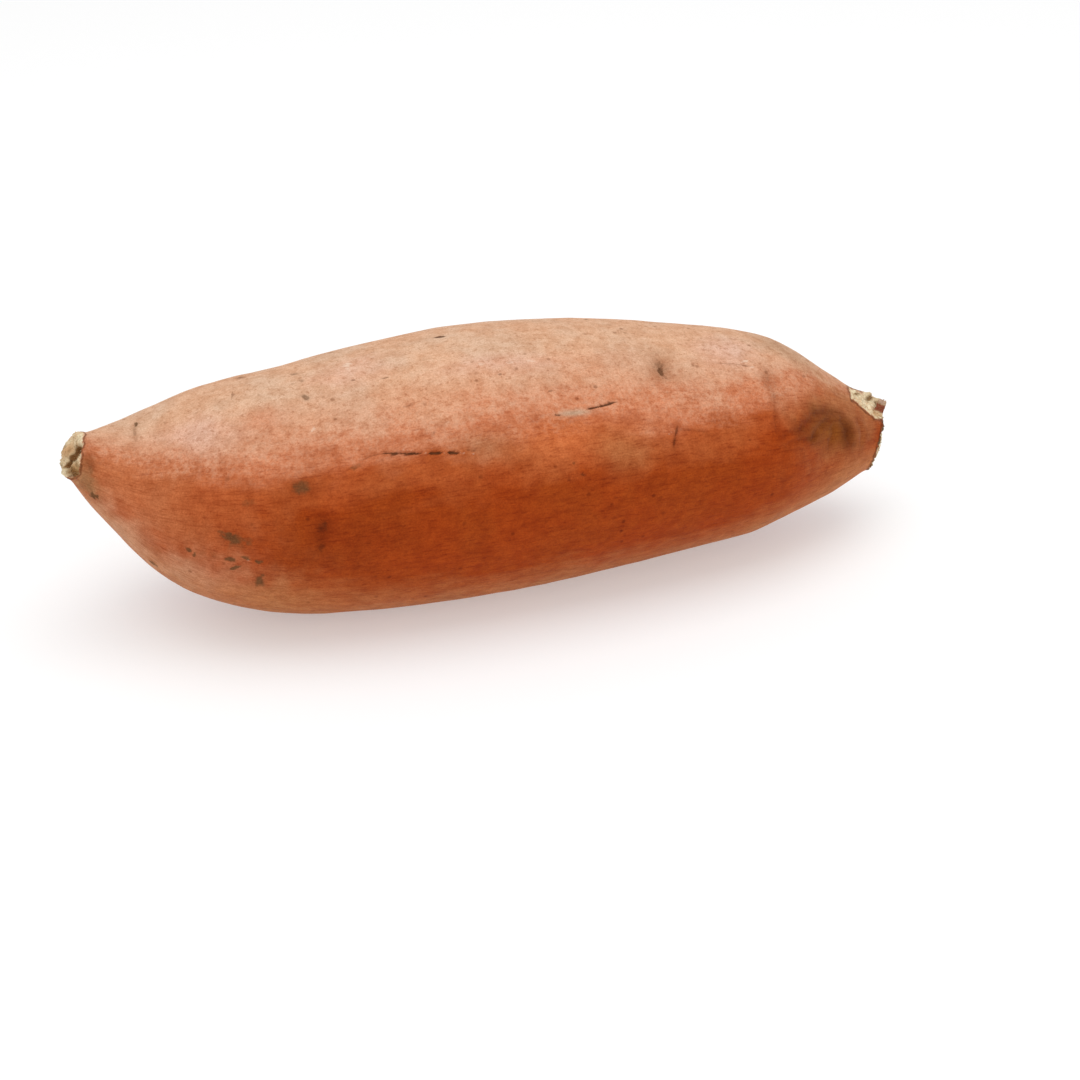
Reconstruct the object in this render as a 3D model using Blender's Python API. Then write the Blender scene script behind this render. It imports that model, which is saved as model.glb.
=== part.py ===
"""Sweet potato: one whole storage root, lying on its belly as it would on a table.

The root grew as one piece, so it is one solid. It is lofted along a gently bent core line, from the tail
scar, where the thin end of the root broke off, to the torn stem end. +X runs from the tail to the stem
end and +Z is up. The origin is on the surface that the root lies on, under the middle of its box. Sizes
are in metres.
"""

import math
import random
from dataclasses import dataclass

import bmesh
import bpy
import numpy as np
from mathutils import Vector

# Driving dimensions
LENGTH = 0.204  # the core line, from the tail scar to past the stem end's tear
WIDTH = 0.069  # the belly, side to side
HEIGHT = 0.0635  # the belly, top to underside

# The flat spot that the root rests on, as a slice off its lowest point
REST_SLICE = 0.0006

# The loft's fineness
RINGS = 74
SPOKES = 56
END_CROWDING = 0.045

# Points closer together than this are one point
WELD = 0.00003

# The skin's colour and finish
SKIN_COLOUR = (0.60, 0.235, 0.135, 1.0)
SKIN_ROUGHNESS = 0.62
CREASE_ANGLE = 40.0  # degrees, and sharper edges than this stay sharp


@dataclass(frozen=True)
class Station:
    """One cross-section of the root, in shares of the driving dimensions."""

    along: float  # where on the core line, of LENGTH, from the tail scar
    lift: float  # height of the core above the surface, of HEIGHT
    sideways: float  # the core's offset towards +Y, of WIDTH
    girth: float  # half the section's size: of WIDTH sideways and of HEIGHT upwards


STATIONS = (
    Station(0.000, 0.740, -0.020, 0.100),
    Station(0.040, 0.661, 0.005, 0.192),
    Station(0.105, 0.573, 0.018, 0.345),
    Station(0.195, 0.504, 0.004, 0.438),
    Station(0.310, 0.490, -0.006, 0.480),
    Station(0.445, 0.505, 0.000, 0.505),
    Station(0.580, 0.500, 0.003, 0.487),
    Station(0.715, 0.482, 0.000, 0.435),
    Station(0.820, 0.452, -0.003, 0.373),
    Station(0.900, 0.407, -0.006, 0.254),
    Station(0.965, 0.378, 0.000, 0.145),
    Station(1.000, 0.366, 0.004, 0.115),
)


@dataclass(frozen=True)
class Lobe:
    """Soft ridges that run along the root and turn slowly round it."""

    count: int
    size: float  # share of the radius
    turn: float  # radians round the root from end to end, times the count
    start: float  # radians, where the first ridge is at the tail, times the count


LOBES = (Lobe(3, 0.010, -1.9, -0.6), Lobe(4, 0.006, 2.6, 1.1))


@dataclass(frozen=True)
class Dent:
    """A hollow in the skin. Around is 0 at the back (+Y), 90 on top, 180 in front and 270 underneath."""

    along: float  # share of LENGTH from the tail scar
    around: float  # degrees
    length: float  # half-length along the root, in metres
    breadth: float  # half-breadth round the root, in metres
    depth: float  # metres, and less than 0 where the skin swells


# Eyes and root pits that show from the front and the top
EYES = (
    Dent(0.654, 122, 0.0040, 0.0050, 0.0013),
    Dent(0.217, 152, 0.0035, 0.0030, 0.0006),
    Dent(0.239, 108, 0.0030, 0.0034, 0.0005),
    Dent(0.037, 101, 0.0024, 0.0032, 0.0005),
    Dent(0.239, 172, 0.0028, 0.0050, 0.0007),
    Dent(0.155, 188, 0.0060, 0.0048, 0.0005),
)

# Creases that run part of the way round the stem end, where the root stopped swelling
CREASES = (
    Dent(0.793, 139, 0.0020, 0.0125, 0.0007),
    Dent(0.659, 158, 0.0020, 0.0070, 0.0005),
    Dent(0.874, 158, 0.0070, 0.0090, 0.0012),
)

# Broad swells and hollows of the body
SWELLS = (
    Dent(0.386, 147, 0.0420, 0.0080, -0.0004),
    Dent(0.541, 352, 0.0300, 0.0200, -0.0022),
    Dent(0.290, 12, 0.0220, 0.0160, 0.0016),
    Dent(0.753, 30, 0.0200, 0.0140, 0.0010),
    Dent(0.985, 80, 0.0065, 0.0090, -0.0014),
)

# Eyes on the sides that face away, in loose rows along the root
BACK_EYES = 9
BACK_ROWS = (25.0, 318.0, 232.0)
BACK_SPAN = (0.14, 0.86)
BACK_SIZE = (0.0028, 0.0044)
BACK_DEPTH = (0.0005, 0.0011)
BACK_SEED = 7


@dataclass(frozen=True)
class Tear:
    """A flat tear that takes off everything on the outer side of it."""

    at: tuple  # a point of the tear, in metres: from the tail scar, towards +Y and up from the surface
    normal: tuple  # outward


STEM_TEARS = (
    Tear((0.2002, 0.0000, 0.0230), (0.93, -0.37, -0.25)),
    Tear((0.2003, -0.0040, 0.0288), (0.66, -0.25, 0.71)),
)

# What stands inside a broken end, as (share of its outline, height over it in metres)
TAIL_SCAR = ((0.92, 0.0010), (0.85, 0.0030), (0.50, 0.0036))
STEM_CORE = ((0.86, -0.0004), (0.60, -0.0002), (0.48, 0.0011))


def smooth_through(knots, values, places):
    """Reads a smooth curve through (knots, values) at places. Its slope at a knot is the neighbours' mean."""
    slopes = np.gradient(values, knots)
    i = np.clip(np.searchsorted(knots, places, side="right") - 1, 0, len(knots) - 2)
    span = knots[i + 1] - knots[i]
    u = (places - knots[i]) / span
    return (
        (2 * u**3 - 3 * u**2 + 1) * values[i]
        + (u**3 - 2 * u**2 + u) * span * slopes[i]
        + (3 * u**2 - 2 * u**3) * values[i + 1]
        + (u**3 - u**2) * span * slopes[i + 1]
    )


def stations_read(name, along):
    """One of the stations' values, read along the root."""
    knots = np.array([station.along for station in STATIONS])
    values = np.array([getattr(station, name) for station in STATIONS])
    return smooth_through(knots, values, along)


def eyes_of_the_back():
    """Eyes spaced along the rows that face away, with a little scatter."""
    draw = random.Random(BACK_SEED)
    first, last = BACK_SPAN
    eyes = []
    for k in range(BACK_EYES):
        along = first + (last - first) * (k + draw.uniform(0.2, 0.8)) / BACK_EYES
        around = BACK_ROWS[k % len(BACK_ROWS)] + draw.uniform(-12, 12)
        size = draw.uniform(*BACK_SIZE)
        eyes.append(Dent(along, around, size, 1.2 * size, draw.uniform(*BACK_DEPTH)))
    return tuple(eyes)


def hollow_depth(dents, along, angle, radius):
    """Total depth of the dents at each ring and spoke. radius turns an angle into a way round the ring."""
    depth = np.zeros((len(along), len(angle)))
    for dent in dents:
        off_along = (along - dent.along) * LENGTH / dent.length
        turn = (angle - math.radians(dent.around) + math.pi) % (2 * math.pi) - math.pi
        off_around = turn[None, :] * radius[:, None] / dent.breadth
        depth += dent.depth * np.exp(-(off_along[:, None] ** 2) - off_around**2)
    return depth


def lobed(along, angle):
    """How far the lobes stand out at each ring and spoke, as a share of the radius. They fade at the ends."""
    out = np.zeros((len(along), len(angle)))
    for lobe in LOBES:
        turned = lobe.count * angle[None, :] + lobe.turn * along[:, None] + lobe.start
        out += lobe.size * np.cos(turned)
    return out * np.sin(math.pi * along)[:, None]


def core_line(along):
    """The core line's points, and the side and up directions square to it."""
    lift = stations_read("lift", along) * HEIGHT
    sideways = stations_read("sideways", along) * WIDTH
    points = np.stack([along * LENGTH, sideways, lift], axis=1)
    tangents = np.gradient(points, along, axis=0)
    tangents /= np.linalg.norm(tangents, axis=1)[:, None]
    side = np.cross([0.0, 0.0, 1.0], tangents)
    side /= np.linalg.norm(side, axis=1)[:, None]
    return points, side, np.cross(tangents, side)


def skin_points():
    """The skin's points, ring by ring from the tail, as an array of RINGS by SPOKES by 3."""
    even = np.linspace(0, 1, RINGS)
    along = even - END_CROWDING * np.sin(2 * math.pi * even)
    angle = np.linspace(0, 2 * math.pi, SPOKES, endpoint=False)
    girth = stations_read("girth", along)
    points, side, up = core_line(along)
    out_side = np.cos(angle)[None, :] * girth[:, None] * WIDTH
    out_up = np.sin(angle)[None, :] * girth[:, None] * HEIGHT

    dents = EYES + CREASES + SWELLS + eyes_of_the_back()
    depth = hollow_depth(dents, along, angle, girth * WIDTH)
    grown = 1 + lobed(along, angle) - depth / np.hypot(out_side, out_up)
    return (
        points[:, None, :]
        + side[:, None, :] * (out_side * grown)[..., None]
        + up[:, None, :] * (out_up * grown)[..., None]
    )


def skin_tube(bm):
    """Joins the skin's points into a tube, closed by a face at each end. Returns the face at the tail."""
    rings = [[bm.verts.new(point) for point in ring] for ring in skin_points().tolist()]
    for ring, next_ring in zip(rings, rings[1:]):
        for k in range(SPOKES):
            following = (k + 1) % SPOKES
            bm.faces.new((ring[k], ring[following], next_ring[following], next_ring[k]))
    tail = bm.faces.new(rings[0])
    bm.faces.new(rings[-1])
    bmesh.ops.recalc_face_normals(bm, faces=bm.faces)
    return tail


def cut_flat(bm, at, normal):
    """Takes off everything on the outer side of a plane and closes the cut with one flat face."""
    everything = bm.verts[:] + bm.edges[:] + bm.faces[:]
    cut = bmesh.ops.bisect_plane(
        bm, geom=everything, dist=WELD, plane_co=at, plane_no=normal, clear_outer=True
    )
    rim = [part for part in cut["geom_cut"] if isinstance(part, bmesh.types.BMEdge)]
    direction = Vector(normal).normalized()
    for vert in {vert for edge in rim for vert in edge.verts}:
        vert.co -= direction * (vert.co - Vector(at)).dot(direction)
    bmesh.ops.contextual_create(bm, geom=rim)
    bmesh.ops.recalc_face_normals(bm, faces=bm.faces)


def face_looking(bm, normal):
    """The largest of the faces that look along a normal."""
    direction = Vector(normal).normalized()
    looking = [face for face in bm.faces if face.normal.dot(direction) > 0.999]
    return max(looking, key=lambda face: face.calc_area())


def relieve_face(bm, face, rings):
    """Replaces a flat end by rings that shrink to its middle, each at its own height."""
    middle = face.calc_center_median()
    normal = face.normal.copy()
    rim = list(face.verts)
    bm.faces.remove(face)
    outer = rim
    for share, height in rings:
        inner = [bm.verts.new(middle + (vert.co - middle) * share + normal * height) for vert in rim]
        for k in range(len(rim)):
            following = (k + 1) % len(rim)
            bm.faces.new((outer[k], outer[following], inner[following], inner[k]))
        outer = inner
    bm.faces.new(outer)


def centre_on_floor(bm):
    """Moves the root so that its box stands on z 0 with its middle at x 0, y 0."""
    low = Vector([min(vert.co[axis] for vert in bm.verts) for axis in range(3)])
    high = Vector([max(vert.co[axis] for vert in bm.verts) for axis in range(3)])
    middle = (low + high) / 2
    bmesh.ops.translate(bm, verts=bm.verts, vec=(-middle.x, -middle.y, -low.z))


def root_mesh():
    """The whole root as one closed mesh."""
    bm = bmesh.new()
    tail = skin_tube(bm)
    relieve_face(bm, tail, TAIL_SCAR)
    for tear in STEM_TEARS:
        cut_flat(bm, tear.at, tear.normal)
    relieve_face(bm, face_looking(bm, STEM_TEARS[0].normal), STEM_CORE)
    floor = min(vert.co.z for vert in bm.verts) + REST_SLICE
    cut_flat(bm, (0, 0, floor), (0, 0, -1))
    centre_on_floor(bm)
    bmesh.ops.recalc_face_normals(bm, faces=bm.faces)
    bmesh.ops.triangulate(bm, faces=bm.faces)
    mesh = bpy.data.meshes.new("sweet_potato")
    bm.to_mesh(mesh)
    bm.free()
    return mesh


def skin_material():
    """Copper-pink skin, dull with a faint sheen."""
    material = bpy.data.materials.new("skin")
    material.use_nodes = True
    shader = material.node_tree.nodes["Principled BSDF"]
    shader.inputs["Base Color"].default_value = SKIN_COLOUR
    shader.inputs["Roughness"].default_value = SKIN_ROUGHNESS
    shader.inputs["Metallic"].default_value = 0.0
    return material


def main():
    """Clears the scene and adds the root."""
    for old in list(bpy.data.objects):
        bpy.data.objects.remove(old)
    mesh = root_mesh()
    mesh.materials.append(skin_material())
    mesh.shade_smooth()
    mesh.set_sharp_from_angle(angle=math.radians(CREASE_ANGLE))
    root = bpy.data.objects.new("sweet_potato", mesh)
    bpy.context.scene.collection.objects.link(root)


main()
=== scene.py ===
"""Sweet potato: the skin, the tail scar and the torn stem end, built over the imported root.

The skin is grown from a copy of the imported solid, so it keeps the solid's shape. Marks are placed by where
they show in the photograph: a ray from the fitted camera finds each one's place on the root. What the
photograph hides is drawn with fixed seeds. Sizes are in metres.
"""

import logging
import math
import random
from dataclasses import dataclass, field
from enum import Enum

import bpy
import numpy as np
from mathutils import Matrix, Vector, noise
from mathutils.bvhtree import BVHTree
from mathutils.kdtree import KDTree


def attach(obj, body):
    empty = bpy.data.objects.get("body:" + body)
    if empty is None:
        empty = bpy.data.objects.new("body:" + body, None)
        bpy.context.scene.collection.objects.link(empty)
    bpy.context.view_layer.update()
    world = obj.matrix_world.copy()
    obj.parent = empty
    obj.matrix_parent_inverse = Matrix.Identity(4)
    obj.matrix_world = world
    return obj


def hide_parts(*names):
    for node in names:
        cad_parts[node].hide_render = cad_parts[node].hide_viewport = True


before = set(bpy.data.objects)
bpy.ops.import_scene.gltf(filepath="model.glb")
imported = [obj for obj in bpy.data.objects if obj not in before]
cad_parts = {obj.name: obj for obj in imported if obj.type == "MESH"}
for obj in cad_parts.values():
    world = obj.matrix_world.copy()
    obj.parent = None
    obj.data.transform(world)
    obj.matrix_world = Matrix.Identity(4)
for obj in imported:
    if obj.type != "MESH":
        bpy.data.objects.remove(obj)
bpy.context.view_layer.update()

LOG = logging.getLogger("sweet_potato")
MM = 0.001
FULL_TURN = 2 * math.pi

Colour = tuple[float, float, float]


# How the root is seen


@dataclass(frozen=True)
class Viewpoint:
    """The camera that the photograph's outline was fitted with."""

    azimuth: float = -18.0
    elevation: float = 28.0
    lens: float = 85.0
    sensor: float = 36.0
    distance: float = 0.650
    target: tuple[float, float, float] = (0.0150, 0.0123, -0.00075)
    picture: int = 1080

    def axes(self) -> tuple[Vector, Vector, Vector]:
        """The camera's own directions.

        Returns:
            The directions to the back of the camera, to its right and up.
        """
        turn = math.radians(self.azimuth)
        rise = math.radians(self.elevation)
        back = Vector((math.sin(turn) * math.cos(rise), -math.cos(turn) * math.cos(rise), math.sin(rise)))
        right = Vector((math.cos(turn), math.sin(turn), 0.0))
        return back, right, back.cross(right)

    def eye(self) -> Vector:
        """Where the camera stands."""
        return Vector(self.target) + self.axes()[0] * self.distance

    def ray(self, pixel: tuple[float, float]) -> Vector:
        """The direction in which a pixel looks.

        Args:
            pixel: Place in the picture, right and down from its top left corner.

        Returns:
            A direction of length 1.
        """
        back, right, up = self.axes()
        focal = self.lens / self.sensor * self.picture
        middle = self.picture / 2
        ahead = -back + right * ((pixel[0] - middle) / focal) - up * ((pixel[1] - middle) / focal)
        return ahead.normalized()

    def shown(self, points: np.ndarray) -> np.ndarray:
        """The pixels where points show.

        Args:
            points: Rows of 3.

        Returns:
            Rows of 2: right and down from the picture's top left corner.
        """
        back, right, up = (np.array(axis) for axis in self.axes())
        off = points - np.array(self.eye())
        scale = self.lens / self.sensor * self.picture / -(off @ back)
        middle = self.picture / 2
        return np.stack([middle + (off @ right) * scale, middle - (off @ up) * scale], axis=1)

    def faced(self, points: np.ndarray, outward: np.ndarray) -> np.ndarray:
        """Whether each point's surface looks towards the camera."""
        return ((np.array(self.eye()) - points) * outward).sum(axis=1) > 0


@dataclass(frozen=True)
class Seen:
    """A place by its pixel in the 1080 pixel wide picture."""

    x: float
    y: float


@dataclass(frozen=True)
class Hidden:
    """A place that the picture doesn't show, by the root's own measures."""

    along: float  # share of the root's length from the tail
    around: float  # degrees: 0 at the back, 90 on top, 180 in front, 270 underneath


Place = Seen | Hidden


# Mesh data


def coordinates(mesh: bpy.types.Mesh) -> np.ndarray:
    """The mesh's points as an array of rows of 3."""
    flat = np.empty(len(mesh.vertices) * 3)
    mesh.vertices.foreach_get("co", flat)
    return flat.reshape(-1, 3)


def normals(mesh: bpy.types.Mesh) -> np.ndarray:
    """The outward direction at each point."""
    flat = np.empty(len(mesh.vertices) * 3, np.float32)
    mesh.vertex_normals.foreach_get("vector", flat)
    return flat.reshape(-1, 3).astype(float)


def move_to(mesh: bpy.types.Mesh, points: np.ndarray) -> None:
    """Puts the mesh's points at new places.

    Args:
        mesh: The mesh.
        points: One row of 3 for each point.
    """
    mesh.vertices.foreach_set("co", points.ravel())
    mesh.update()


def store(mesh: bpy.types.Mesh, name: str, values: np.ndarray) -> None:
    """Keeps a value, vector or colour for each point, for the materials to read.

    Args:
        mesh: The mesh.
        name: The attribute's name.
        values: One number, or one row of 3 or 4, for each point.
    """
    width = 1 if values.ndim == 1 else values.shape[1]
    kind, slot = {1: ("FLOAT", "value"), 3: ("FLOAT_VECTOR", "vector"), 4: ("FLOAT_COLOR", "color")}[width]
    layer = mesh.attributes.new(name, kind, "POINT")
    layer.data.foreach_set(slot, np.ascontiguousarray(values, np.float32).ravel())


def cloudy(points: np.ndarray, size: float, octaves: int = 3, shift: float = 0.0) -> np.ndarray:
    """Soft noise at each point.

    Args:
        points: Rows of 3.
        size: How large its forms are, in the points' own unit.
        octaves: How many finer layers it has.
        shift: Moves the pattern, to draw another one.

    Returns:
        Values from about -1 to 1.
    """
    scaled = points / size + shift
    return np.array([noise.fractal(Vector(row), 0.6, 2.0, octaves) for row in scaled])


def ramp(values: np.ndarray, low: float, high: float) -> np.ndarray:
    """Rises smoothly from 0 at low to 1 at high."""
    share = np.clip((values - low) / (high - low), 0, 1)
    return share * share * (3 - 2 * share)


def only(piece: bpy.types.Object) -> None:
    """Makes a piece the only one selected, and the active one."""
    bpy.ops.object.select_all(action="DESELECT")
    piece.select_set(True)
    bpy.context.view_layer.objects.active = piece


def select_faces(piece: bpy.types.Object, chosen: np.ndarray) -> None:
    """Selects faces of a piece in object mode, and nothing else.

    Args:
        piece: The piece.
        chosen: True or False for each face.
    """
    mesh = piece.data
    mesh.vertices.foreach_set("select", np.zeros(len(mesh.vertices), bool))
    mesh.edges.foreach_set("select", np.zeros(len(mesh.edges), bool))
    mesh.polygons.foreach_set("select", chosen)


# The root's own measures


class RootMeasure:
    """The line through the root's middle and its radius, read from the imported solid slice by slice."""

    SLICES = 64
    SMOOTHING = (0.25, 0.5, 0.25)

    def __init__(self, mesh: bpy.types.Mesh) -> None:
        """Reads the slices.

        Args:
            mesh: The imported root's mesh.
        """
        points = coordinates(mesh)
        self.tail = points[:, 0].min()
        self.stem = points[:, 0].max()
        self.stops = np.linspace(self.tail, self.stem, self.SLICES)
        reach = 1.6 * (self.stops[1] - self.stops[0])
        rows = []
        for stop in self.stops:
            ring = points[np.abs(points[:, 0] - stop) < reach]
            low = ring.min(axis=0)
            high = ring.max(axis=0)
            radius = (high[1] - low[1] + high[2] - low[2]) / 4
            rows.append(((low[1] + high[1]) / 2, (low[2] + high[2]) / 2, radius))
        table = np.array(rows)
        for _ in range(3):
            table[1:-1] = sum(w * table[k : len(table) - 2 + k] for k, w in enumerate(self.SMOOTHING))
        self.table = table

    def read(self, column: int, x: np.ndarray | float) -> np.ndarray:
        """One of the slices' values at places along the root."""
        return np.interp(x, self.stops, self.table[:, column])

    def radius(self, x: np.ndarray | float) -> np.ndarray:
        """The root's mean radius at places along it."""
        return self.read(2, x)

    def around(self, points: np.ndarray) -> np.ndarray:
        """The angle round the root, in radians: 0 at the back and a quarter turn on top."""
        return np.arctan2(
            points[:, 2] - self.read(1, points[:, 0]),
            points[:, 1] - self.read(0, points[:, 0]),
        )


@dataclass
class Sheet:
    """A spot on the skin with the root's skin laid flat round it.

    across turns a way on the flat skin into lengths as they show at the spot.
    """

    x: float
    angle: float
    radius: float
    across: np.ndarray

    def local(self, x: np.ndarray, angle: np.ndarray) -> tuple[np.ndarray, np.ndarray]:
        """Where points lie from the spot.

        Args:
            x: Each point's place along the root.
            angle: Each point's angle round the root.

        Returns:
            How far each point is along the spot's own direction, and across it.
        """
        way = np.stack([x - self.x, wrapped(angle - self.angle) * self.radius])
        flat = self.across @ way
        return flat[0], flat[1]


def wrapped(angle: np.ndarray | float) -> np.ndarray | float:
    """The same angle between minus and plus half a turn."""
    return (angle + math.pi) % FULL_TURN - math.pi


class Placer:
    """Finds places on the root from pixels of the picture or from the root's own measures."""

    STEP = 3.0  # pixels, for the way that a direction in the picture takes on the skin
    STRETCH = 2.0  # the most that a mark is lengthened where the skin turns away

    def __init__(self, view: Viewpoint, mesh: bpy.types.Mesh, measure: RootMeasure) -> None:
        """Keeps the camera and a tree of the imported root's faces.

        Args:
            view: The fitted camera.
            mesh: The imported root's mesh.
            measure: The root's own measures.
        """
        faces = [tuple(face.vertices) for face in mesh.polygons]
        self.view = view
        self.measure = measure
        self.tree = BVHTree.FromPolygons([vert.co for vert in mesh.vertices], faces)

    def point(self, pixel: Seen) -> Vector:
        """The nearest point of the root under a pixel. Past the outline, the nearest one to its ray."""
        eye = self.view.eye()
        ahead = self.view.ray((pixel.x, pixel.y))
        hit = self.tree.ray_cast(eye, ahead)[0]
        if hit is None:
            hit = self.tree.find_nearest(eye + ahead * self.view.distance)[0]
        return hit

    def flat(self, pixel: Seen) -> tuple[float, float]:
        """A pixel's place along the root and its angle round it."""
        point = np.array([self.point(pixel)])
        return float(point[0, 0]), float(self.measure.around(point)[0])

    def sheet(self, place: Place, lean: float = 0.0) -> Sheet:
        """Lays the skin flat round a place.

        Args:
            place: Where.
            lean: Degrees that the spot's own direction turns up from the picture's horizontal, or from the
                root's length where the picture doesn't show the place.

        Returns:
            The sheet.
        """
        turn = math.radians(lean)
        if isinstance(place, Hidden):
            x = self.measure.tail + place.along * (self.measure.stem - self.measure.tail)
            radius = float(self.measure.radius(x))
            turned = np.array([[math.cos(turn), math.sin(turn)], [-math.sin(turn), math.cos(turn)]])
            return Sheet(x, math.radians(place.around), radius, turned)
        x, angle = self.flat(place)
        radius = float(self.measure.radius(x))
        shown = self.STEP * self.view.distance * self.view.sensor / self.view.lens / self.view.picture
        ways = []
        for toward in (turn, turn + math.pi / 2):
            step_x = self.STEP * math.cos(toward)
            step_y = -self.STEP * math.sin(toward)
            ahead = self.flat(Seen(place.x + step_x, place.y + step_y))
            behind = self.flat(Seen(place.x - step_x, place.y - step_y))
            ways.append([(ahead[0] - behind[0]) / 2, wrapped(ahead[1] - behind[1]) / 2 * radius])
        left, sizes, right = np.linalg.svd(np.array(ways).T / shown)
        basis = left @ np.diag(np.clip(sizes, 0.5, self.STRETCH)) @ right
        return Sheet(x, angle, radius, np.linalg.inv(basis))


# Colours


class Tint(Enum):
    """The skin's colours, as linear red, green and blue."""

    DUSTY_TAN = (0.680, 0.415, 0.265)
    DUSTY_PINK = (0.710, 0.410, 0.295)
    LIGHT_SALMON = (0.645, 0.325, 0.190)
    SALMON = (0.600, 0.215, 0.103)
    CLAY = (0.545, 0.170, 0.065)
    COPPER = (0.425, 0.092, 0.022)
    ORANGE = (0.570, 0.155, 0.048)
    RED_BROWN = (0.333, 0.050, 0.005)
    DEEP_BROWN = (0.210, 0.030, 0.004)
    OLIVE_TAN = (0.420, 0.210, 0.100)
    HOLLOW_BROWN = (0.250, 0.070, 0.010)
    HOLLOW_DARK = (0.190, 0.045, 0.006)
    NECK_BROWN = (0.430, 0.175, 0.068)
    UNDER_TAN = (0.470, 0.170, 0.058)
    GREY_PINK = (0.580, 0.305, 0.175)
    RUBBED_GREY = (0.455, 0.315, 0.210)
    SCAR_TAN = (0.430, 0.215, 0.095)


@dataclass(frozen=True)
class Wash:
    """A soft patch of another colour. Its sizes are as they show at its place."""

    tint: Tint
    place: Place
    length: float  # half, in metres
    breadth: float  # half, in metres
    lean: float = 0.0
    strength: float = 1.0
    broken: float = 0.35  # how much noise breaks its edge


WASHES = (
    Wash(Tint.CLAY, Seen(150, 500), 24 * MM, 11 * MM, -24, 0.85),
    Wash(Tint.COPPER, Seen(215, 515), 14 * MM, 10 * MM, -12, 0.70),
    # Painted shadow over the lower middle, on the skin's own deep red-brown
    Wash(Tint.DEEP_BROWN, Seen(340, 545), 20 * MM, 8 * MM, 12, 0.35),
    # Pale washes along the lower edge: the skin's grey-pink tan, partly painted light reflected from the floor
    Wash(Tint.GREY_PINK, Seen(118, 530), 14 * MM, 5.5 * MM, -48, 0.80),
    Wash(Tint.GREY_PINK, Seen(200, 584), 17 * MM, 5 * MM, -18, 0.65),
    Wash(Tint.UNDER_TAN, Seen(262, 602), 16 * MM, 5 * MM, -4, 0.85),
    Wash(Tint.SALMON, Seen(262, 424), 7 * MM, 4 * MM, 10, 0.60),
    Wash(Tint.OLIVE_TAN, Seen(488, 446), 7.5 * MM, 3.6 * MM, -5, 0.40),
    Wash(Tint.ORANGE, Seen(566, 441), 11 * MM, 6 * MM, 8, 0.95),
    Wash(Tint.UNDER_TAN, Seen(622, 450), 7 * MM, 6 * MM, 0, 0.60),
    Wash(Tint.SALMON, Seen(655, 405), 12 * MM, 7 * MM, 0, 0.60),
    Wash(Tint.COPPER, Seen(725, 432), 12 * MM, 4.5 * MM, 6, 0.80),
    Wash(Tint.SALMON, Seen(795, 388), 5 * MM, 5 * MM, -35, 0.70),
    Wash(Tint.OLIVE_TAN, Seen(780, 348), 9 * MM, 3.2 * MM, -30, 0.50),
    Wash(Tint.LIGHT_SALMON, Seen(620, 362), 11 * MM, 4.5 * MM, 0, 0.60),
    Wash(Tint.DUSTY_PINK, Seen(200, 432), 9 * MM, 4.5 * MM, 10, 0.75),
    Wash(Tint.NECK_BROWN, Seen(848, 410), 11 * MM, 9 * MM, -30, 0.75),
    # Darker washes in the neck's hollow: brown skin, partly painted shade in the hollow
    Wash(Tint.HOLLOW_BROWN, Seen(832, 430), 6.8 * MM, 4.8 * MM, -12, 1.0),
    Wash(Tint.HOLLOW_DARK, Seen(848, 431), 1.5 * MM, 3.2 * MM, 0, 0.7),
    Wash(Tint.HOLLOW_DARK, Seen(812, 437), 2.4 * MM, 1.6 * MM, 0, 0.7),
    Wash(Tint.HOLLOW_DARK, Seen(822, 413), 3.0 * MM, 1.2 * MM, -15, 0.4),
    Wash(Tint.DUSTY_PINK, Seen(724, 350), 8 * MM, 3.6 * MM, -8, 0.8),
    # Pale washes along the top's crest: dusty skin, partly a painted sheen highlight
    Wash(Tint.DUSTY_PINK, Seen(350, 372), 9 * MM, 3.5 * MM, 12, 0.6),
    Wash(Tint.DUSTY_PINK, Seen(500, 363), 15 * MM, 2.5 * MM, 4, 0.6),
    Wash(Tint.RUBBED_GREY, Seen(575, 412.3), 4.4 * MM, 0.85 * MM, 5, 0.9, 0.1),
    Wash(Tint.SCAR_TAN, Seen(88, 484), 1.9 * MM, 4.2 * MM, 25, 0.8, 0.5),
    Wash(Tint.SCAR_TAN, Seen(78, 484), 1.7 * MM, 3.0 * MM, 40, 0.9, 0.5),
    Wash(Tint.CLAY, Hidden(0.06, 282), 20 * MM, 9 * MM, 0, 0.8),
)


@dataclass(frozen=True)
class DustBorder:
    """Where the dusty upper skin ends, as it runs along the root."""

    front: tuple[Seen, ...] = (
        Seen(84, 446), Seen(120, 458), Seen(165, 466), Seen(215, 468), Seen(260, 462), Seen(316, 448),
        Seen(381, 438), Seen(430, 434), Seen(480, 424), Seen(520, 414), Seen(560, 407), Seen(610, 402),
        Seen(650, 408), Seen(700, 404), Seen(740, 398), Seen(780, 386), Seen(810, 382), Seen(845, 390),
    )
    back: float = -18.0  # degrees round the root
    sway: float = 10.0  # degrees that the hidden edge wanders
    sway_length: float = 17 * MM
    sway_start: float = 0.6
    wander: float = 4.5  # degrees that noise moves it
    under: float = 245.0  # degrees round the root where the front's border hands over to the back's
    back_pace: float = 1.1  # how much faster the colours follow each other at the back
    end_softness: float = 0.75  # how far the hidden edge blurs at the ends, where it would look like a wedge
    end_reach: float = 16 * MM
    soft_span: float = 24.0  # degrees


# The skin's colours by degrees below the dusty skin's border. The red-brown of the lower front is partly the
# skin's own colour, partly painted shadow; the tan underneath is partly painted light reflected from the
# floor.
BANDS = (
    (-32.0, Tint.DUSTY_TAN),
    (-13.0, Tint.LIGHT_SALMON),
    (0.0, Tint.SALMON),
    (14.0, Tint.COPPER),
    (29.0, Tint.RED_BROWN),
    (62.0, Tint.RED_BROWN),
    (92.0, Tint.UNDER_TAN),
)


# Marks


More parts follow.
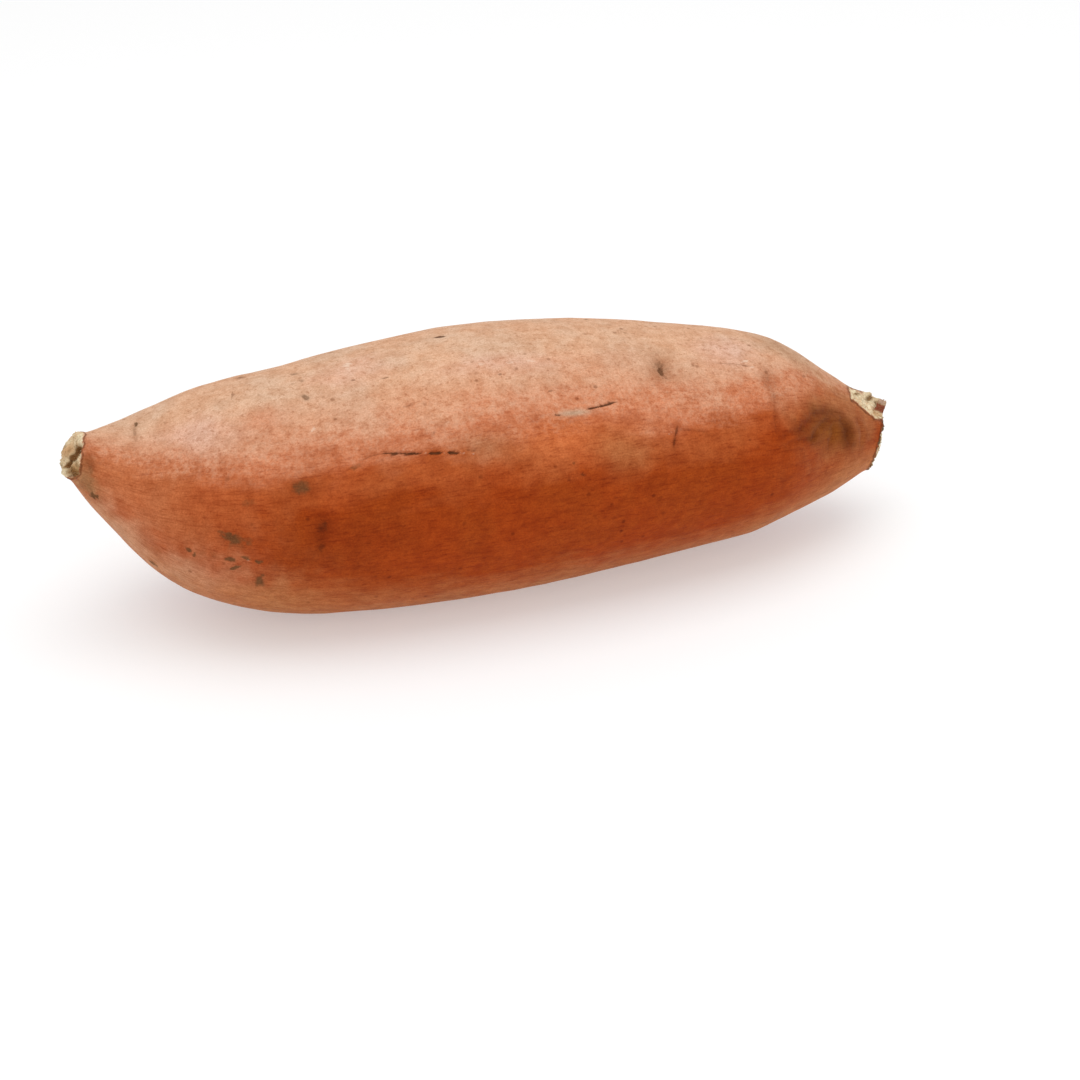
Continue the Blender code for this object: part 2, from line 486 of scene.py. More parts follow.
@dataclass(frozen=True)
class Mark:
    """A small mark. Its sizes are as they show at its place, and its depth is real."""

    place: Place
    length: float  # half, in metres
    breadth: float  # half, in metres
    lean: float = 0.0
    depth: float = 0.0  # metres, and less than 0 where it stands up
    pit: float = 0.0  # how dark
    soil: float = 0.0  # how much dry soil
    scurf: float = 0.0  # how much pale flaking
    halo: float = 0.0  # how far the skin round it is darkened: browned skin, and at the tail's collar partly painted shade
    ragged: float = 0.30


@dataclass(frozen=True)
class Groove:
    """A crack, crease or scratch along a path."""

    path: tuple[Place, ...]
    breadth: float  # half, in metres
    depth: float  # metres
    pit: float = 0.0
    soil: float = 0.0
    scurf: float = 0.0
    rim: float = 0.0  # how much pale flaking lines it
    # halo: how far the skin round it is darkened; browned skin, and in the neck's hollow partly painted shade
    halo: float = 0.0
    ragged: float = 0.35


def seen_marks(*rows: tuple[float, ...]) -> tuple[Mark, ...]:
    """Makes marks of rows of numbers.

    Args:
        rows: For each mark its pixel, its half sizes in millimetres, its lean, its depth in millimetres and
            the rest of its values, as Mark has them.

    Returns:
        The marks.
    """
    return tuple(
        Mark(Seen(x, y), length * MM, breadth * MM, lean, depth * MM, *rest)
        for x, y, length, breadth, lean, depth, *rest in rows
    )


def seen_grooves(*rows: tuple) -> tuple[Groove, ...]:
    """Makes grooves of rows of numbers.

    Args:
        rows: For each groove the pixels of its path, its half breadth and its depth in millimetres, and the
            rest of its values, as Groove has them.

    Returns:
        The grooves.
    """
    return tuple(
        Groove(tuple(Seen(*pixel) for pixel in path), breadth * MM, depth * MM, *rest)
        for path, breadth, depth, *rest in rows
    )


# Broad swells and hollows along the far edge, less than 0 where they stand up
SWELLS = (
    Mark(Hidden(0.083, 62), 9 * MM, 16 * MM, 0, -0.45 * MM),
    Mark(Hidden(0.165, 62), 8 * MM, 14 * MM, 0, 0.30 * MM),
    Mark(Hidden(0.260, 62), 8 * MM, 14 * MM, 0, 0.40 * MM),
    Mark(Hidden(0.335, 62), 12 * MM, 16 * MM, 0, -0.40 * MM),
    Mark(Hidden(0.851, 62), 7 * MM, 14 * MM, 0, -0.40 * MM),
)

EYES = seen_marks(
    (661, 370, 1.7, 0.8, 100, 0.45, 0.68, 0.45, 0, 0.0, 0.6),
    (660, 363, 1.2, 1.3, 92, 0.25, 0.35, 0.30, 0, 0.0, 0.8),
    (661, 367, 2.7, 2.1, 92, 0.30, 0.0, 0.24, 0, 0.80, 0.8),
    (665, 377, 1.1, 0.4, -50, 0.10, 0.45, 0.25, 0, 0.1, 0.6),
    (301, 488, 2.8, 1.9, 5, 0.30, 0.20, 0.72, 0, 0.65, 0.2),
    (248, 503, 2.0, 1.4, 0, 0.15, 0.05, 0.40, 0, 0.2, 0.3),
    (305, 397, 0.8, 1.2, 60, 0.25, 0.35, 0.55, 0, 0.4),
    (294, 373, 1.3, 0.6, 10, 0.15, 0.30, 0.45, 0, 0.2),
    (301, 380, 0.8, 0.5, -15, 0.15, 0.30, 0.40, 0, 0.2),
    (136, 425, 0.75, 0.55, 60, 0.30, 0.25, 0.80, 0, 0.5, 0.7),
    (135, 433, 0.5, 1.6, 4, 0.05, 0.0, 0.42, 0, 0.5, 0.8),
    (227, 479, 1.1, 0.7, 0, 0.15, 0.40, 0.0, 0, 0.3),
    (202, 501, 0.8, 1.0, 0, 0.12, 0.30, 0.0, 0, 0.4),
    (322, 528, 1.9, 1.5, 75, 0.2, 0.52, 0.10, 0, 0.8, 0.6),
    (321, 547, 1.6, 0.9, 80, 0.1, 0.45, 0.0, 0, 0.6, 0.6),
    (602, 482, 0.6, 0.8, 0, 0.3, 0.85, 0.1, 0, 0.2, 0.2),
    (440, 337, 1.8, 0.45, 8, 0.15, 0.85, 0.0, 0, 0.15, 0.2),
)

LENTICELS = seen_marks(
    (232, 395, 1.1, 0.30, 80, 0.12, 0.60),
    (246, 383, 0.6, 0.35, 20, 0.08, 0.35),
    (364, 350, 0.7, 0.30, 15, 0.08, 0.45),
    (374, 352, 0.5, 0.30, 0, 0.08, 0.40),
    (353, 380, 0.7, 0.28, 0, 0.10, 0.65),
    (385, 378, 1.1, 0.25, 15, 0.10, 0.65),
    (380, 406, 0.35, 0.9, 15, 0.10, 0.50),
    (383, 413, 0.35, 0.6, 20, 0.10, 0.45),
    (410, 406, 0.5, 0.9, 0, 0.14, 0.60, 0.2),
    (440, 396, 0.4, 0.5, 0, 0.10, 0.35, 0.3),
    (442, 413, 0.6, 0.7, -30, 0.14, 0.65, 0.1),
    (456, 403, 0.35, 0.4, 0, 0.08, 0.45),
    (481, 395, 0.5, 0.35, 0, 0.08, 0.35, 0.2),
    (500, 374, 0.7, 0.40, 0, 0.12, 0.60),
    (550, 391, 1.0, 0.30, 15, 0.10, 0.55),
    (573, 397, 0.4, 0.45, 0, 0.12, 0.65),
    (633, 363, 0.3, 0.9, 0, 0.06, 0.30),
    (804, 376, 0.6, 0.5, -30, 0.12, 0.45, 0, 0, 0.2),
    (812, 382, 0.5, 0.35, -30, 0.08, 0.35),
    (583, 477, 0.22, 1.6, 0, 0.20, 0.75),
    (670, 433, 0.8, 0.5, 30, 0.05, 0, 0, 0.5),
    (434, 433, 0.35, 0.5, 0, 0.08, 0.45),
    (455, 434, 0.3, 0.5, 0, 0.08, 0.40),
    (488, 439, 0.5, 0.22, 0, 0.06, 0.50),
    (520, 460, 0.9, 0.25, -20, 0.06, 0.45),
    (574, 463, 0.5, 0.5, 0, 0.10, 0.40, 0.3),
)

SCURF = seen_marks(
    (347, 367, 1.9, 1.4, 0, -0.05, 0, 0, 0.55, 0, 0.9),
    (347, 366, 1.1, 0.8, 0, -0.05, 0, 0, 0.95),
    (352, 373, 0.9, 0.35, -30, -0.04, 0, 0, 0.7),
    (365, 361, 1.5, 0.4, 20, -0.03, 0, 0, 0.5),
    (380, 366, 1.0, 0.9, 0, -0.03, 0, 0, 0.4),
    (397, 367, 1.4, 0.4, 5, -0.03, 0, 0, 0.4),
    (450, 365, 3.0, 0.3, 2, -0.02, 0, 0, 0.45),
    (481, 364, 1.3, 0.5, 10, -0.03, 0, 0, 0.65),
    (509, 362, 1.6, 0.5, 0, -0.03, 0, 0, 0.75),
    (530, 361, 1.6, 0.6, 5, -0.03, 0, 0, 0.65),
    (313, 430, 1.8, 0.5, 75, -0.03, 0, 0, 0.65),
    (745, 361, 1.1, 0.4, 5, -0.06, 0, 0, 0.95),
    (752, 367, 0.8, 0.4, 0, -0.04, 0, 0, 0.6),
    (270, 457, 1.6, 0.9, 20, -0.02, 0, 0, 0.3),
    (240, 458, 1.6, 0.6, 30, -0.02, 0, 0, 0.3),
    (248, 561, 0.8, 0.4, 0, -0.04, 0, 0, 0.36),
    (425, 453, 0.8, 0.5, 0, -0.03, 0, 0, 0.48),
    (444, 453, 0.5, 0.5, 0, -0.03, 0, 0, 0.4),
    (463, 454, 0.7, 0.6, 0, -0.03, 0, 0, 0.6),
    (474, 454, 0.8, 0.4, 0, -0.03, 0, 0, 0.5),
)

SOIL = seen_marks(
    (231, 538, 2.6, 1.3, -20, -0.10, 0.25, 0.95, 0, 0.5, 0.5),
    (236, 541, 3.6, 2.2, -10, 0.0, 0.0, 0.35, 0, 0.3, 0.8),
    (222, 532, 1.2, 0.5, -10, -0.05, 0.1, 0.60, 0, 0.2, 0.5),
    (248, 542, 1.2, 1.2, 60, -0.05, 0.05, 0.55, 0, 0.1, 0.5),
    (189, 550, 1.1, 0.5, -35, -0.06, 0.35, 0.85, 0, 0.2, 0.5),
    (195, 554, 0.9, 0.6, 50, -0.06, 0.30, 0.80, 0, 0.2, 0.5),
    (213, 554, 1.0, 1.0, 0, -0.02, 0.0, 0.35, 0, 0.3, 0.6),
    (201, 553, 1.2, 0.8, 0, -0.02, 0.0, 0.30, 0, 0.3, 0.6),
    (231, 559, 1.7, 0.7, -15, -0.08, 0.25, 0.95, 0, 0.2, 0.5),
    (245, 558, 1.5, 0.35, -20, -0.05, 0.2, 0.70, 0, 0.1, 0.6),
    (259, 562, 1.0, 0.6, -10, -0.08, 0.25, 0.90, 0, 0.2, 0.5),
    (235, 568, 1.7, 0.5, 18, -0.08, 0.20, 0.95, 0, 0.2, 0.4),
    (259, 582, 1.5, 1.3, 20, -0.10, 0.15, 0.90, 0, 0.3, 0.6),
    (262, 576, 0.8, 0.6, 40, -0.06, 0.1, 0.70, 0, 0.1, 0.5),
    (153, 563, 1.5, 0.6, -35, -0.06, 0.15, 0.75, 0, 0.2, 0.5),
    (355, 467, 2.2, 0.6, 15, 0.02, 0.10, 0.55, 0, 0.1, 0.5),
    (799, 419, 0.6, 1.3, 0, -0.12, 0.0, 0.0, 0.18, 0.0, 0.7),
    # Darker smudges on the tail's collar: soil-browned skin, partly painted shade on the collar's facet
    (89, 460, 1.5, 1.3, -60, 0.12, 0.15, 0.0, 0, 0.75, 0.6),
    (92, 469, 0.9, 1.6, 10, 0.10, 0.40, 0.20, 0, 0.3, 0.8),
    (94, 496, 1.5, 0.9, -30, -0.08, 0.35, 0.95, 0, 0.3, 0.6),
    (88, 486, 1.6, 2.6, 30, -0.06, 0.0, 0.40, 0.0, 0.3, 0.9),
)

CRACKS = seen_grooves(
    (((361, 460.5), (371, 456), (382, 453)), 0.22, 0.25, 0.45, 0.3, 0, 0.2),
    (((382, 453), (400, 453), (421, 453.5)), 0.28, 0.60, 0.88, 0, 0, 0.5),
    (((429, 453.5), (442, 452.5)), 0.40, 0.60, 0.88, 0, 0, 0.5),
    (((448, 452.5), (459, 453)), 0.38, 0.60, 0.88, 0, 0, 0.5),
    (((465, 450), (478, 451.5)), 0.20, 0.25, 0.55, 0, 0, 0.4),
    (((587, 408.7), (601, 405.5), (616, 401.7)), 0.28, 0.50, 0.95, 0.1, 0, 0.3),
    (((555, 414.5), (561, 415)), 0.22, 0.30, 0.80),
    (((716, 363), (735, 363.5), (757, 367)), 0.16, 0.20, 0.55, 0, 0, 0.3),
    (((741, 364.5), (749, 365.5)), 0.25, 0.30, 0.85),
    (((347, 431.5), (360, 430)), 0.16, 0.15, 0.40, 0, 0, 0.25),
    (((349, 443.5), (366, 442.5)), 0.16, 0.15, 0.35, 0, 0, 0.35),
    (((376, 437), (404, 434)), 0.15, 0.12, 0.25, 0, 0, 0.2),
    (((450, 440), (480, 441)), 0.15, 0.12, 0.25, 0, 0, 0.1),
)

CREASES = seen_grooves(
    (((768, 375), (772, 385), (775, 396), (776, 417), (777, 432)), 0.42, 0.32, 0.30, 0, 0, 0, 0.45, 0.6),
    (((678, 425), (674, 447)), 0.30, 0.38, 0.60, 0.1, 0, 0, 0.5, 0.6),
    (((680, 430), (700, 431), (720, 438)), 0.30, 0.25, 0.30, 0, 0, 0, 0.4, 0.6),
    (((767, 373), (768, 384)), 0.9, 0.30, 0.20, 0.25, 0, 0, 0.5, 0.6),
    # The creases in the neck's hollow darken the skin round them with their halo: browned skin, partly painted
    # shade in the hollow
    (((800, 432), (806, 426), (814, 416), (826, 411), (838, 413)), 0.95, 0.45, 0.10, 0, 0, 0, 0.75, 0.7),
    (((812, 441), (817, 431), (824, 422), (834, 418)), 0.75, 0.35, 0.08, 0, 0, 0, 0.55, 0.7),
    (((841, 416), (848, 428), (850, 444)), 1.00, 0.60, 0.14, 0, 0, 0, 0.80, 0.6),
    (((829, 446), (834, 434), (833, 424)), 0.70, 0.35, 0.06, 0, 0, 0, 0.45, 0.6),
    (((861, 446), (863, 432), (858, 420)), 0.70, 0.30, 0.0, 0, 0, 0, 0.45, 0.6),
    (((782, 438), (796, 431), (806, 428)), 0.60, 0.30, 0.08, 0, 0, 0, 0.5, 0.7),
    (((786, 446), (800, 440), (814, 441)), 0.55, 0.28, 0.08, 0, 0, 0, 0.5, 0.7),
)

# The scratch beside the second crack, where a flat streak of skin is rubbed grey
RUBBED = Mark(Seen(573, 412.5), 3.4 * MM, 0.75 * MM, 5, 0.15 * MM, 0.0, 0.0, 0.25, 0, 0.15)


@dataclass(frozen=True)
class HiddenMarks:
    """How many marks of each kind the sides that the picture doesn't show get, and where they lie."""

    seed: int = 41
    around: tuple[float, float] = (-100.0, 75.0)
    along: tuple[float, float] = (0.06, 0.93)
    lenticels: int = 46
    eyes: int = 10
    smudges: int = 9
    flakes: int = 12
    creases: int = 7

    def place(self, draw: random.Random) -> Hidden:
        """Draws a place on the far side."""
        return Hidden(draw.uniform(*self.along), draw.uniform(*self.around))

    def marks(self) -> list[Mark]:
        """Draws the small marks.

        Returns:
            The marks.
        """
        draw = random.Random(self.seed)
        found = []
        for _ in range(self.lenticels):
            length = draw.uniform(0.4, 1.3) * MM
            found.append(
                Mark(self.place(draw), length, draw.uniform(0.22, 0.45) * MM, draw.uniform(55, 125),
                     draw.uniform(0.06, 0.14) * MM, draw.uniform(0.3, 0.65))
            )
        for _ in range(self.eyes):
            size = draw.uniform(0.7, 1.6) * MM
            found.append(
                Mark(self.place(draw), size, size * draw.uniform(0.6, 1.0), draw.uniform(60, 120),
                     draw.uniform(0.15, 0.4) * MM, draw.uniform(0.35, 0.7), draw.uniform(0.1, 0.5), 0, 0.5)
            )
        for _ in range(self.smudges):
            middle = self.place(draw)
            for _ in range(draw.randint(2, 5)):
                near = Hidden(middle.along + draw.uniform(-0.02, 0.02), middle.around + draw.uniform(-7, 7))
                found.append(
                    Mark(near, draw.uniform(0.6, 2.2) * MM, draw.uniform(0.4, 1.0) * MM, draw.uniform(-25, 25),
                         draw.uniform(-0.08, -0.02) * MM, draw.uniform(0, 0.3), draw.uniform(0.4, 0.9),
                     0, 0.2, 0.6)
                )
        for _ in range(self.flakes):
            found.append(
                Mark(self.place(draw), draw.uniform(0.5, 1.8) * MM, draw.uniform(0.3, 0.7) * MM,
                     draw.uniform(-20, 20), -0.03 * MM, 0, 0, draw.uniform(0.3, 0.8))
            )
        return found

    def grooves(self) -> list[Groove]:
        """Draws creases that run part of the way round, and one lengthwise crack.

        Returns:
            The grooves.
        """
        draw = random.Random(self.seed + 1)
        found = []
        for _ in range(self.creases):
            start = self.place(draw)
            path = [start]
            for _ in range(3):
                last = path[-1]
                path.append(Hidden(last.along + draw.uniform(-0.006, 0.006), last.around + draw.uniform(5, 9)))
            found.append(Groove(tuple(path), draw.uniform(0.22, 0.4) * MM, draw.uniform(0.15, 0.3) * MM,
                                draw.uniform(0.2, 0.45), 0, 0, 0, 0.4, 0.5))
        crack = (Hidden(0.40, 28), Hidden(0.44, 29), Hidden(0.475, 27.5))
        found.append(Groove(crack, 0.3 * MM, 0.5 * MM, 0.95, 0, 0, 0.5))
        return found


# Materials


class Socket:
    """A shader value that takes Python's operators. Each one adds its Math node."""

    def __init__(self, recipe: "Recipe", socket: bpy.types.NodeSocket) -> None:
        """Keeps the recipe and the node's output."""
        self.recipe = recipe
        self.socket = socket

    def maths(self, operation: str, *others: "Socket | float") -> "Socket":
        """Adds a Math node after this value.

        Args:
            operation: The node's operation.
            others: Its other inputs.

        Returns:
            The node's result.
        """
        inputs = dict(enumerate((self, *others)))
        return self.recipe.node("ShaderNodeMath", {"operation": operation}, inputs)

    def __add__(self, other: "Socket | float") -> "Socket":
        """self + other."""
        return self.maths("ADD", other)

    def __radd__(self, other: float) -> "Socket":
        """other + self."""
        return self.maths("ADD", other)

    def __sub__(self, other: "Socket | float") -> "Socket":
        """self - other."""
        return self.maths("SUBTRACT", other)

    def __rsub__(self, other: float) -> "Socket":
        """other - self."""
        return self.maths("MULTIPLY_ADD", -1.0, other)

    def __mul__(self, other: "Socket | float") -> "Socket":
        """self * other."""
        return self.maths("MULTIPLY", other)

    def __rmul__(self, other: float) -> "Socket":
        """other * self."""
        return self.maths("MULTIPLY", other)

    def ramp(self, low: float, high: float) -> "Socket":
        """Rises smoothly from 0 at low to 1 at high."""
        settings = {"interpolation_type": "SMOOTHSTEP"}
        ends = {"Value": self, "From Min": low, "From Max": high}
        return self.recipe.node("ShaderNodeMapRange", settings, ends)


class Recipe:
    """A material's nodes, added one after another."""

    def __init__(self, name: str) -> None:
        """Starts an empty material.

        Args:
            name: The material's name.
        """
        self.material = bpy.data.materials.new(name)
        self.material.use_nodes = True
        self.tree = self.material.node_tree
        self.tree.nodes.clear()

    def node(
        self, kind: str, settings: dict | None = None, inputs: dict | None = None, output: int | str = 0
    ) -> Socket:
        """Adds any node.

        Args:
            kind: The node's type.
            settings: Its properties, set first.
            inputs: A value, or a Socket to link, for each input by name or number.
            output: Which output to return.

        Returns:
            The node's output.
        """
        node = self.tree.nodes.new(kind)
        for key, value in (settings or {}).items():
            setattr(node, key, value)
        for key, value in (inputs or {}).items():
            if isinstance(value, Socket):
                self.tree.links.new(value.socket, node.inputs[key])
            else:
                node.inputs[key].default_value = value
        return Socket(self, node.outputs[output])

    def place(self) -> Socket:
        """The place in the object, in metres."""
        return self.node("ShaderNodeTexCoord", output="Object")

    def kept(self, name: str) -> Socket:
        """A value kept at the mesh's points."""
        return self.node("ShaderNodeAttribute", {"attribute_name": name}, output="Fac")

    def kept_vector(self, name: str) -> Socket:
        """A vector kept at the mesh's points."""
        return self.node("ShaderNodeAttribute", {"attribute_name": name}, output="Vector")

    def kept_colour(self, name: str) -> Socket:
        """A colour kept at the mesh's points."""
        return self.node("ShaderNodeAttribute", {"attribute_name": name}, output="Color")

    def stretched(self, vector: Socket, scales: tuple[float, float, float]) -> Socket:
        """A vector times a scale for each axis."""
        return self.node("ShaderNodeVectorMath", {"operation": "MULTIPLY"}, {0: vector, 1: scales})

    def noise(self, vector: Socket, scale: float, detail: float = 2.0, roughness: float = 0.5) -> Socket:
        """Soft noise from 0 to 1.

        Args:
            vector: Where it is read.
            scale: Forms to a unit of the vector.
            detail: How many finer layers it has.
            roughness: How strong the finer layers are.

        Returns:
            The noise.
        """
        inputs = {"Vector": vector, "Scale": scale, "Detail": detail, "Roughness": roughness}
        return self.node("ShaderNodeTexNoise", None, inputs, "Fac")

    def cells(self, vector: Socket, scale: float, output: str = "Distance") -> Socket:
        """Scattered cells: the distance to the nearest middle, or a colour for each."""
        return self.node("ShaderNodeTexVoronoi", None, {"Vector": vector, "Scale": scale}, output)

    def mixed(
        self, share: Socket | float, first: Socket | Colour, second: Socket | Colour, way: str = "MIX"
    ) -> Socket:
        """Mixes two colours.

        Args:
            share: How much of the second.
            first: A colour.
            second: Another colour.
            way: How they mix.

        Returns:
            The mixed colour.
        """
        colours = [colour if isinstance(colour, Socket) else (*colour, 1.0) for colour in (first, second)]
        settings = {"data_type": "RGBA", "blend_type": way}
        return self.node("ShaderNodeMix", settings, {0: share, 6: colours[0], 7: colours[1]}, 2)

    def times(self, colour: Socket, shade: Colour | Socket) -> Socket:
        """A colour times a shade."""
        return self.mixed(1.0, colour, shade, "MULTIPLY")

    def bumped(self, height: Socket, distance: float, strength: float = 1.0) -> Socket:
        """A normal from a height from 0 to 1 that stands for a real distance."""
        inputs = {"Height": height, "Distance": distance, "Strength": strength}
        return self.node("ShaderNodeBump", None, inputs, "Normal")

    def surface(self, **inputs: object) -> bpy.types.Material:
        """Ends the recipe with its shader.

        Args:
            inputs: The shader's inputs, with _ for a space.

        Returns:
            The material.
        """
        named = {key.replace("_", " "): value for key, value in inputs.items()}
        shader = self.node("ShaderNodeBsdfPrincipled", None, named)
        end = self.tree.nodes.new("ShaderNodeOutputMaterial")
        self.tree.links.new(shader.socket, end.inputs["Surface"])
        return self.material


@dataclass(frozen=True)
class FleshFinish:
    """Torn, dried flesh at a broken end: cream and fibrous, with brown, weathered fibres."""

    cream: Colour = (0.880, 0.755, 0.520)
    orange: Colour = (0.560, 0.300, 0.130)
    brown: Colour = (0.130, 0.045, 0.008)
    fibre: Colour = (0.285, 0.140, 0.048)
    olive: Colour = (0.310, 0.195, 0.085)
    # The dark strip along a torn face's rim: dried flesh, partly painted shade
    dry_rim_and_shade: Colour = (0.130, 0.083, 0.038)
    roughness: float = 0.72
    shine: float = 0.25

    def laid(self, recipe: Recipe, place: Socket) -> tuple[Socket, Socket]:
        """Adds the flesh to a recipe.

        Args:
            recipe: The recipe.
            place: The place in the object.

        Returns:
            Its colour and its height.
        """
        decay = recipe.kept("decay")
        fibres = recipe.noise(recipe.stretched(place, (420, 2100, 2100)), 1, 3, 0.6)
        blots = recipe.noise(place, 420, 3, 0.6)
        fine = recipe.noise(place, 2600, 2, 0.6)
        colour = recipe.mixed(recipe.kept("warm"), self.cream, self.orange)
        colour = recipe.mixed(blots.ramp(0.60, 0.42) * 0.35, colour, self.orange)
        colour = recipe.mixed(fibres.ramp(0.52, 0.34) * 0.50, colour, self.olive)
        dark = recipe.mixed((fibres * 0.5 + fine * 0.5).ramp(0.46, 0.62) * 0.8, self.brown, self.fibre)
        rotten = recipe.mixed((decay + fibres).ramp(0.95, 1.5), self.olive, dark)
        rotten = recipe.mixed(decay.ramp(1.20, 1.40), rotten, self.dry_rim_and_shade)
        mask = (decay + blots + fibres).ramp(1.15, 1.90)
        colour = recipe.mixed(mask * 0.98, colour, rotten)
        colour = recipe.mixed(fine.ramp(0.45, 0.30) * 0.15, colour, self.brown)
        return colour, fibres * 0.6 + blots * 0.25 + fine * 0.15

    def material(self, name: str) -> bpy.types.Material:
        """Builds a material of the flesh alone.

        Args:
            name: The material's name.

        Returns:
            The material.
        """
        recipe = Recipe(name)
        colour, height = self.laid(recipe, recipe.place())
        normal = recipe.bumped(height, 0.30 * MM, 0.9)
        return recipe.surface(
            Base_Color=colour, Roughness=self.roughness, Normal=normal, Specular_IOR_Level=self.shine
        )


@dataclass(frozen=True)
class SkinFinish:
    """Thin, dry skin: dusty and grainy on top, streaked lengthwise below, with soil, pits and flaking."""

    soil_light: Colour = (0.165, 0.080, 0.031)
    soil_dark: Colour = (0.085, 0.037, 0.013)
    pit: Colour = (0.085, 0.030, 0.010)
    pit_shade: Colour = (0.38, 0.28, 0.20)  # what a shallow pit leaves of the colour round it
    flake: Colour = (0.800, 0.590, 0.450)
    halo_shade: Colour = (0.56, 0.46, 0.38)
    speck_shade: Colour = (0.52, 0.42, 0.34)
    dust: Colour = (0.700, 0.440, 0.300)
    streak_dark: Colour = (0.74, 0.60, 0.52)
    streak_light: Colour = (1.14, 1.22, 1.28)
    dash_dark: Colour = (0.72, 0.56, 0.48)
    dash_light: Colour = (1.16, 1.24, 1.30)
    pore_shade: Colour = (0.70, 0.56, 0.48)
    cloud_shades: tuple[Colour, Colour] = ((1.02, 0.965, 0.92), (0.985, 1.03, 1.06))
    mottle_shades: tuple[Colour, Colour] = ((0.90, 0.84, 0.80), (1.07, 1.11, 1.15))
    powder_shades: tuple[Colour, Colour] = ((0.89, 0.86, 0.84), (1.09, 1.11, 1.13))
    roughness: float = 0.60
    shine: float = 0.05
    bump: float = 0.16 * MM
    flesh: FleshFinish = field(default_factory=FleshFinish)

    def material(self) -> bpy.types.Material:
        """Builds the material.

        Returns:
            The material.
        """
        recipe = Recipe("sweet_potato_skin")
        place = recipe.place()
        flow = recipe.kept_vector("flow")
        dust = recipe.kept("dust")
        soil = recipe.kept("soil")
        pit = recipe.kept("pit")
        scurf = recipe.kept("scurf")
        halo = recipe.kept("halo")

        cloud = recipe.noise(place, 75, 3, 0.55)
        mottle = recipe.noise(place, 310, 4, 0.64)
        grain = recipe.noise(place, 950, 3, 0.65)
        powder = recipe.noise(place, 2500, 2, 0.6)
        streaks = recipe.noise(recipe.stretched(flow, (130, 760, 760)), 1, 3, 0.62)
        dashes = recipe.noise(recipe.stretched(flow, (420, 2300, 2300)), 1, 2, 0.6)

        colour = recipe.kept_colour("wash")
        for share, shades in (
            (cloud.ramp(0.36, 0.64), self.cloud_shades),
            (mottle.ramp(0.33, 0.67), self.mottle_shades),
        ):
            colour = recipe.times(colour, recipe.mixed(share, *shades))

        bare = 1 - dust
        for pattern, low, high, on_bare, all_over, shade in (
            (streaks, 0.50, 0.30, 0.42, 0.10, self.streak_dark),
            (streaks, 0.54, 0.72, 0.38, 0.12, self.streak_light),
            (dashes, 0.47, 0.30, 0.50, 0.22, self.dash_dark),
            (dashes, 0.56, 0.72, 0.28, 0.16, self.dash_light),
        ):
            share = pattern.ramp(low, high) * (bare * on_bare + all_over)
            colour = recipe.mixed(share, colour, recipe.times(colour, shade))

        border = dust * bare * 4
        grains = (grain * 0.60 + mottle * 0.40).ramp(0.42, 0.64)
        colour = recipe.mixed(grains * (dust * 0.16 + border * 0.24), colour, self.dust)
        pores = grain.ramp(0.46, 0.32) * (dust * 0.34 + 0.30)
        colour = recipe.mixed(pores, colour, recipe.times(colour, self.pore_shade))
        powdery = powder.ramp(0.30, 0.70)
        colour = recipe.times(colour, recipe.mixed(powdery, *self.powder_shades))

        dots = recipe.cells(place, 330)
        sparse = recipe.noise(place, 120, 1, 0.5).ramp(0.54, 0.66)
        specked = recipe.times(colour, self.speck_shade)
        colour = recipe.mixed(dots.ramp(0.24, 0.08) * sparse * 0.75, colour, specked)

        # The halo darkens skin round marks and creases: browned skin, and in the neck's hollow and on the
        # tail's collar partly painted shade
        rough_edge = (grain - 0.5) * 0.75
        browned_and_shaded = recipe.times(colour, self.halo_shade)
        colour = recipe.mixed((halo + rough_edge * halo).ramp(0.0, 1.0) * 0.80, colour, browned_and_shaded)
        soil_mask = (soil + rough_edge * 0.7 + (mottle - 0.5) * 0.7).ramp(0.08, 0.95)
        soil_colour = recipe.mixed(powdery * 0.5 + mottle * 0.3, self.soil_dark, self.soil_light)
        colour = recipe.mixed(soil_mask * 0.82, colour, soil_colour)
        flake_mask = (scurf + rough_edge * 1.4 + (mottle - 0.5) * 0.8).ramp(0.38, 0.95)
        colour = recipe.mixed(flake_mask * 0.70, colour, self.flake)
        pit_mask = (pit + rough_edge * 0.6).ramp(0.16, 0.88)
        shaded = recipe.mixed(0.35, recipe.times(colour, self.pit_shade), self.pit)
        pit_colour = recipe.mixed(pit.ramp(0.55, 0.95), shaded, self.pit)
        colour = recipe.mixed(pit_mask * 0.90, colour, pit_colour)

        flesh = recipe.kept("flesh")
        flesh_colour, flesh_height = self.flesh.laid(recipe, place)
        colour = recipe.mixed(flesh, colour, flesh_colour)
        height = streaks * 0.25 + dashes * 0.22 + grain * 0.38 + powder * 0.12 + scurf * 0.25
        height = height * (1 - flesh) + flesh_height * flesh * 1.8
        roughness = grain * 0.16 + (self.roughness - 0.12) + dust * 0.10 + soil_mask * 0.15
        return recipe.surface(
            Base_Color=colour,
            Roughness=roughness,
            Normal=recipe.bumped(height, self.bump, 0.75),
            Specular_IOR_Level=self.shine,
        )


# The skin


@dataclass(frozen=True)
class Tear:
    """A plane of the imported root's broken ends. Flesh shows on it and on all that stands over it."""

    normal: tuple[float, float, float]
    offset: float  # from the origin, in metres
    near: tuple[float, float]  # from and to where along the root it counts
    rims: tuple[tuple[Seen, Seen], ...] = ()  # lines in the picture with the flesh on their left as they run
    dry_rim_and_shade: float = 0.0  # how wide a dark strip runs inside its edge: dried flesh, partly painted shade along the rim


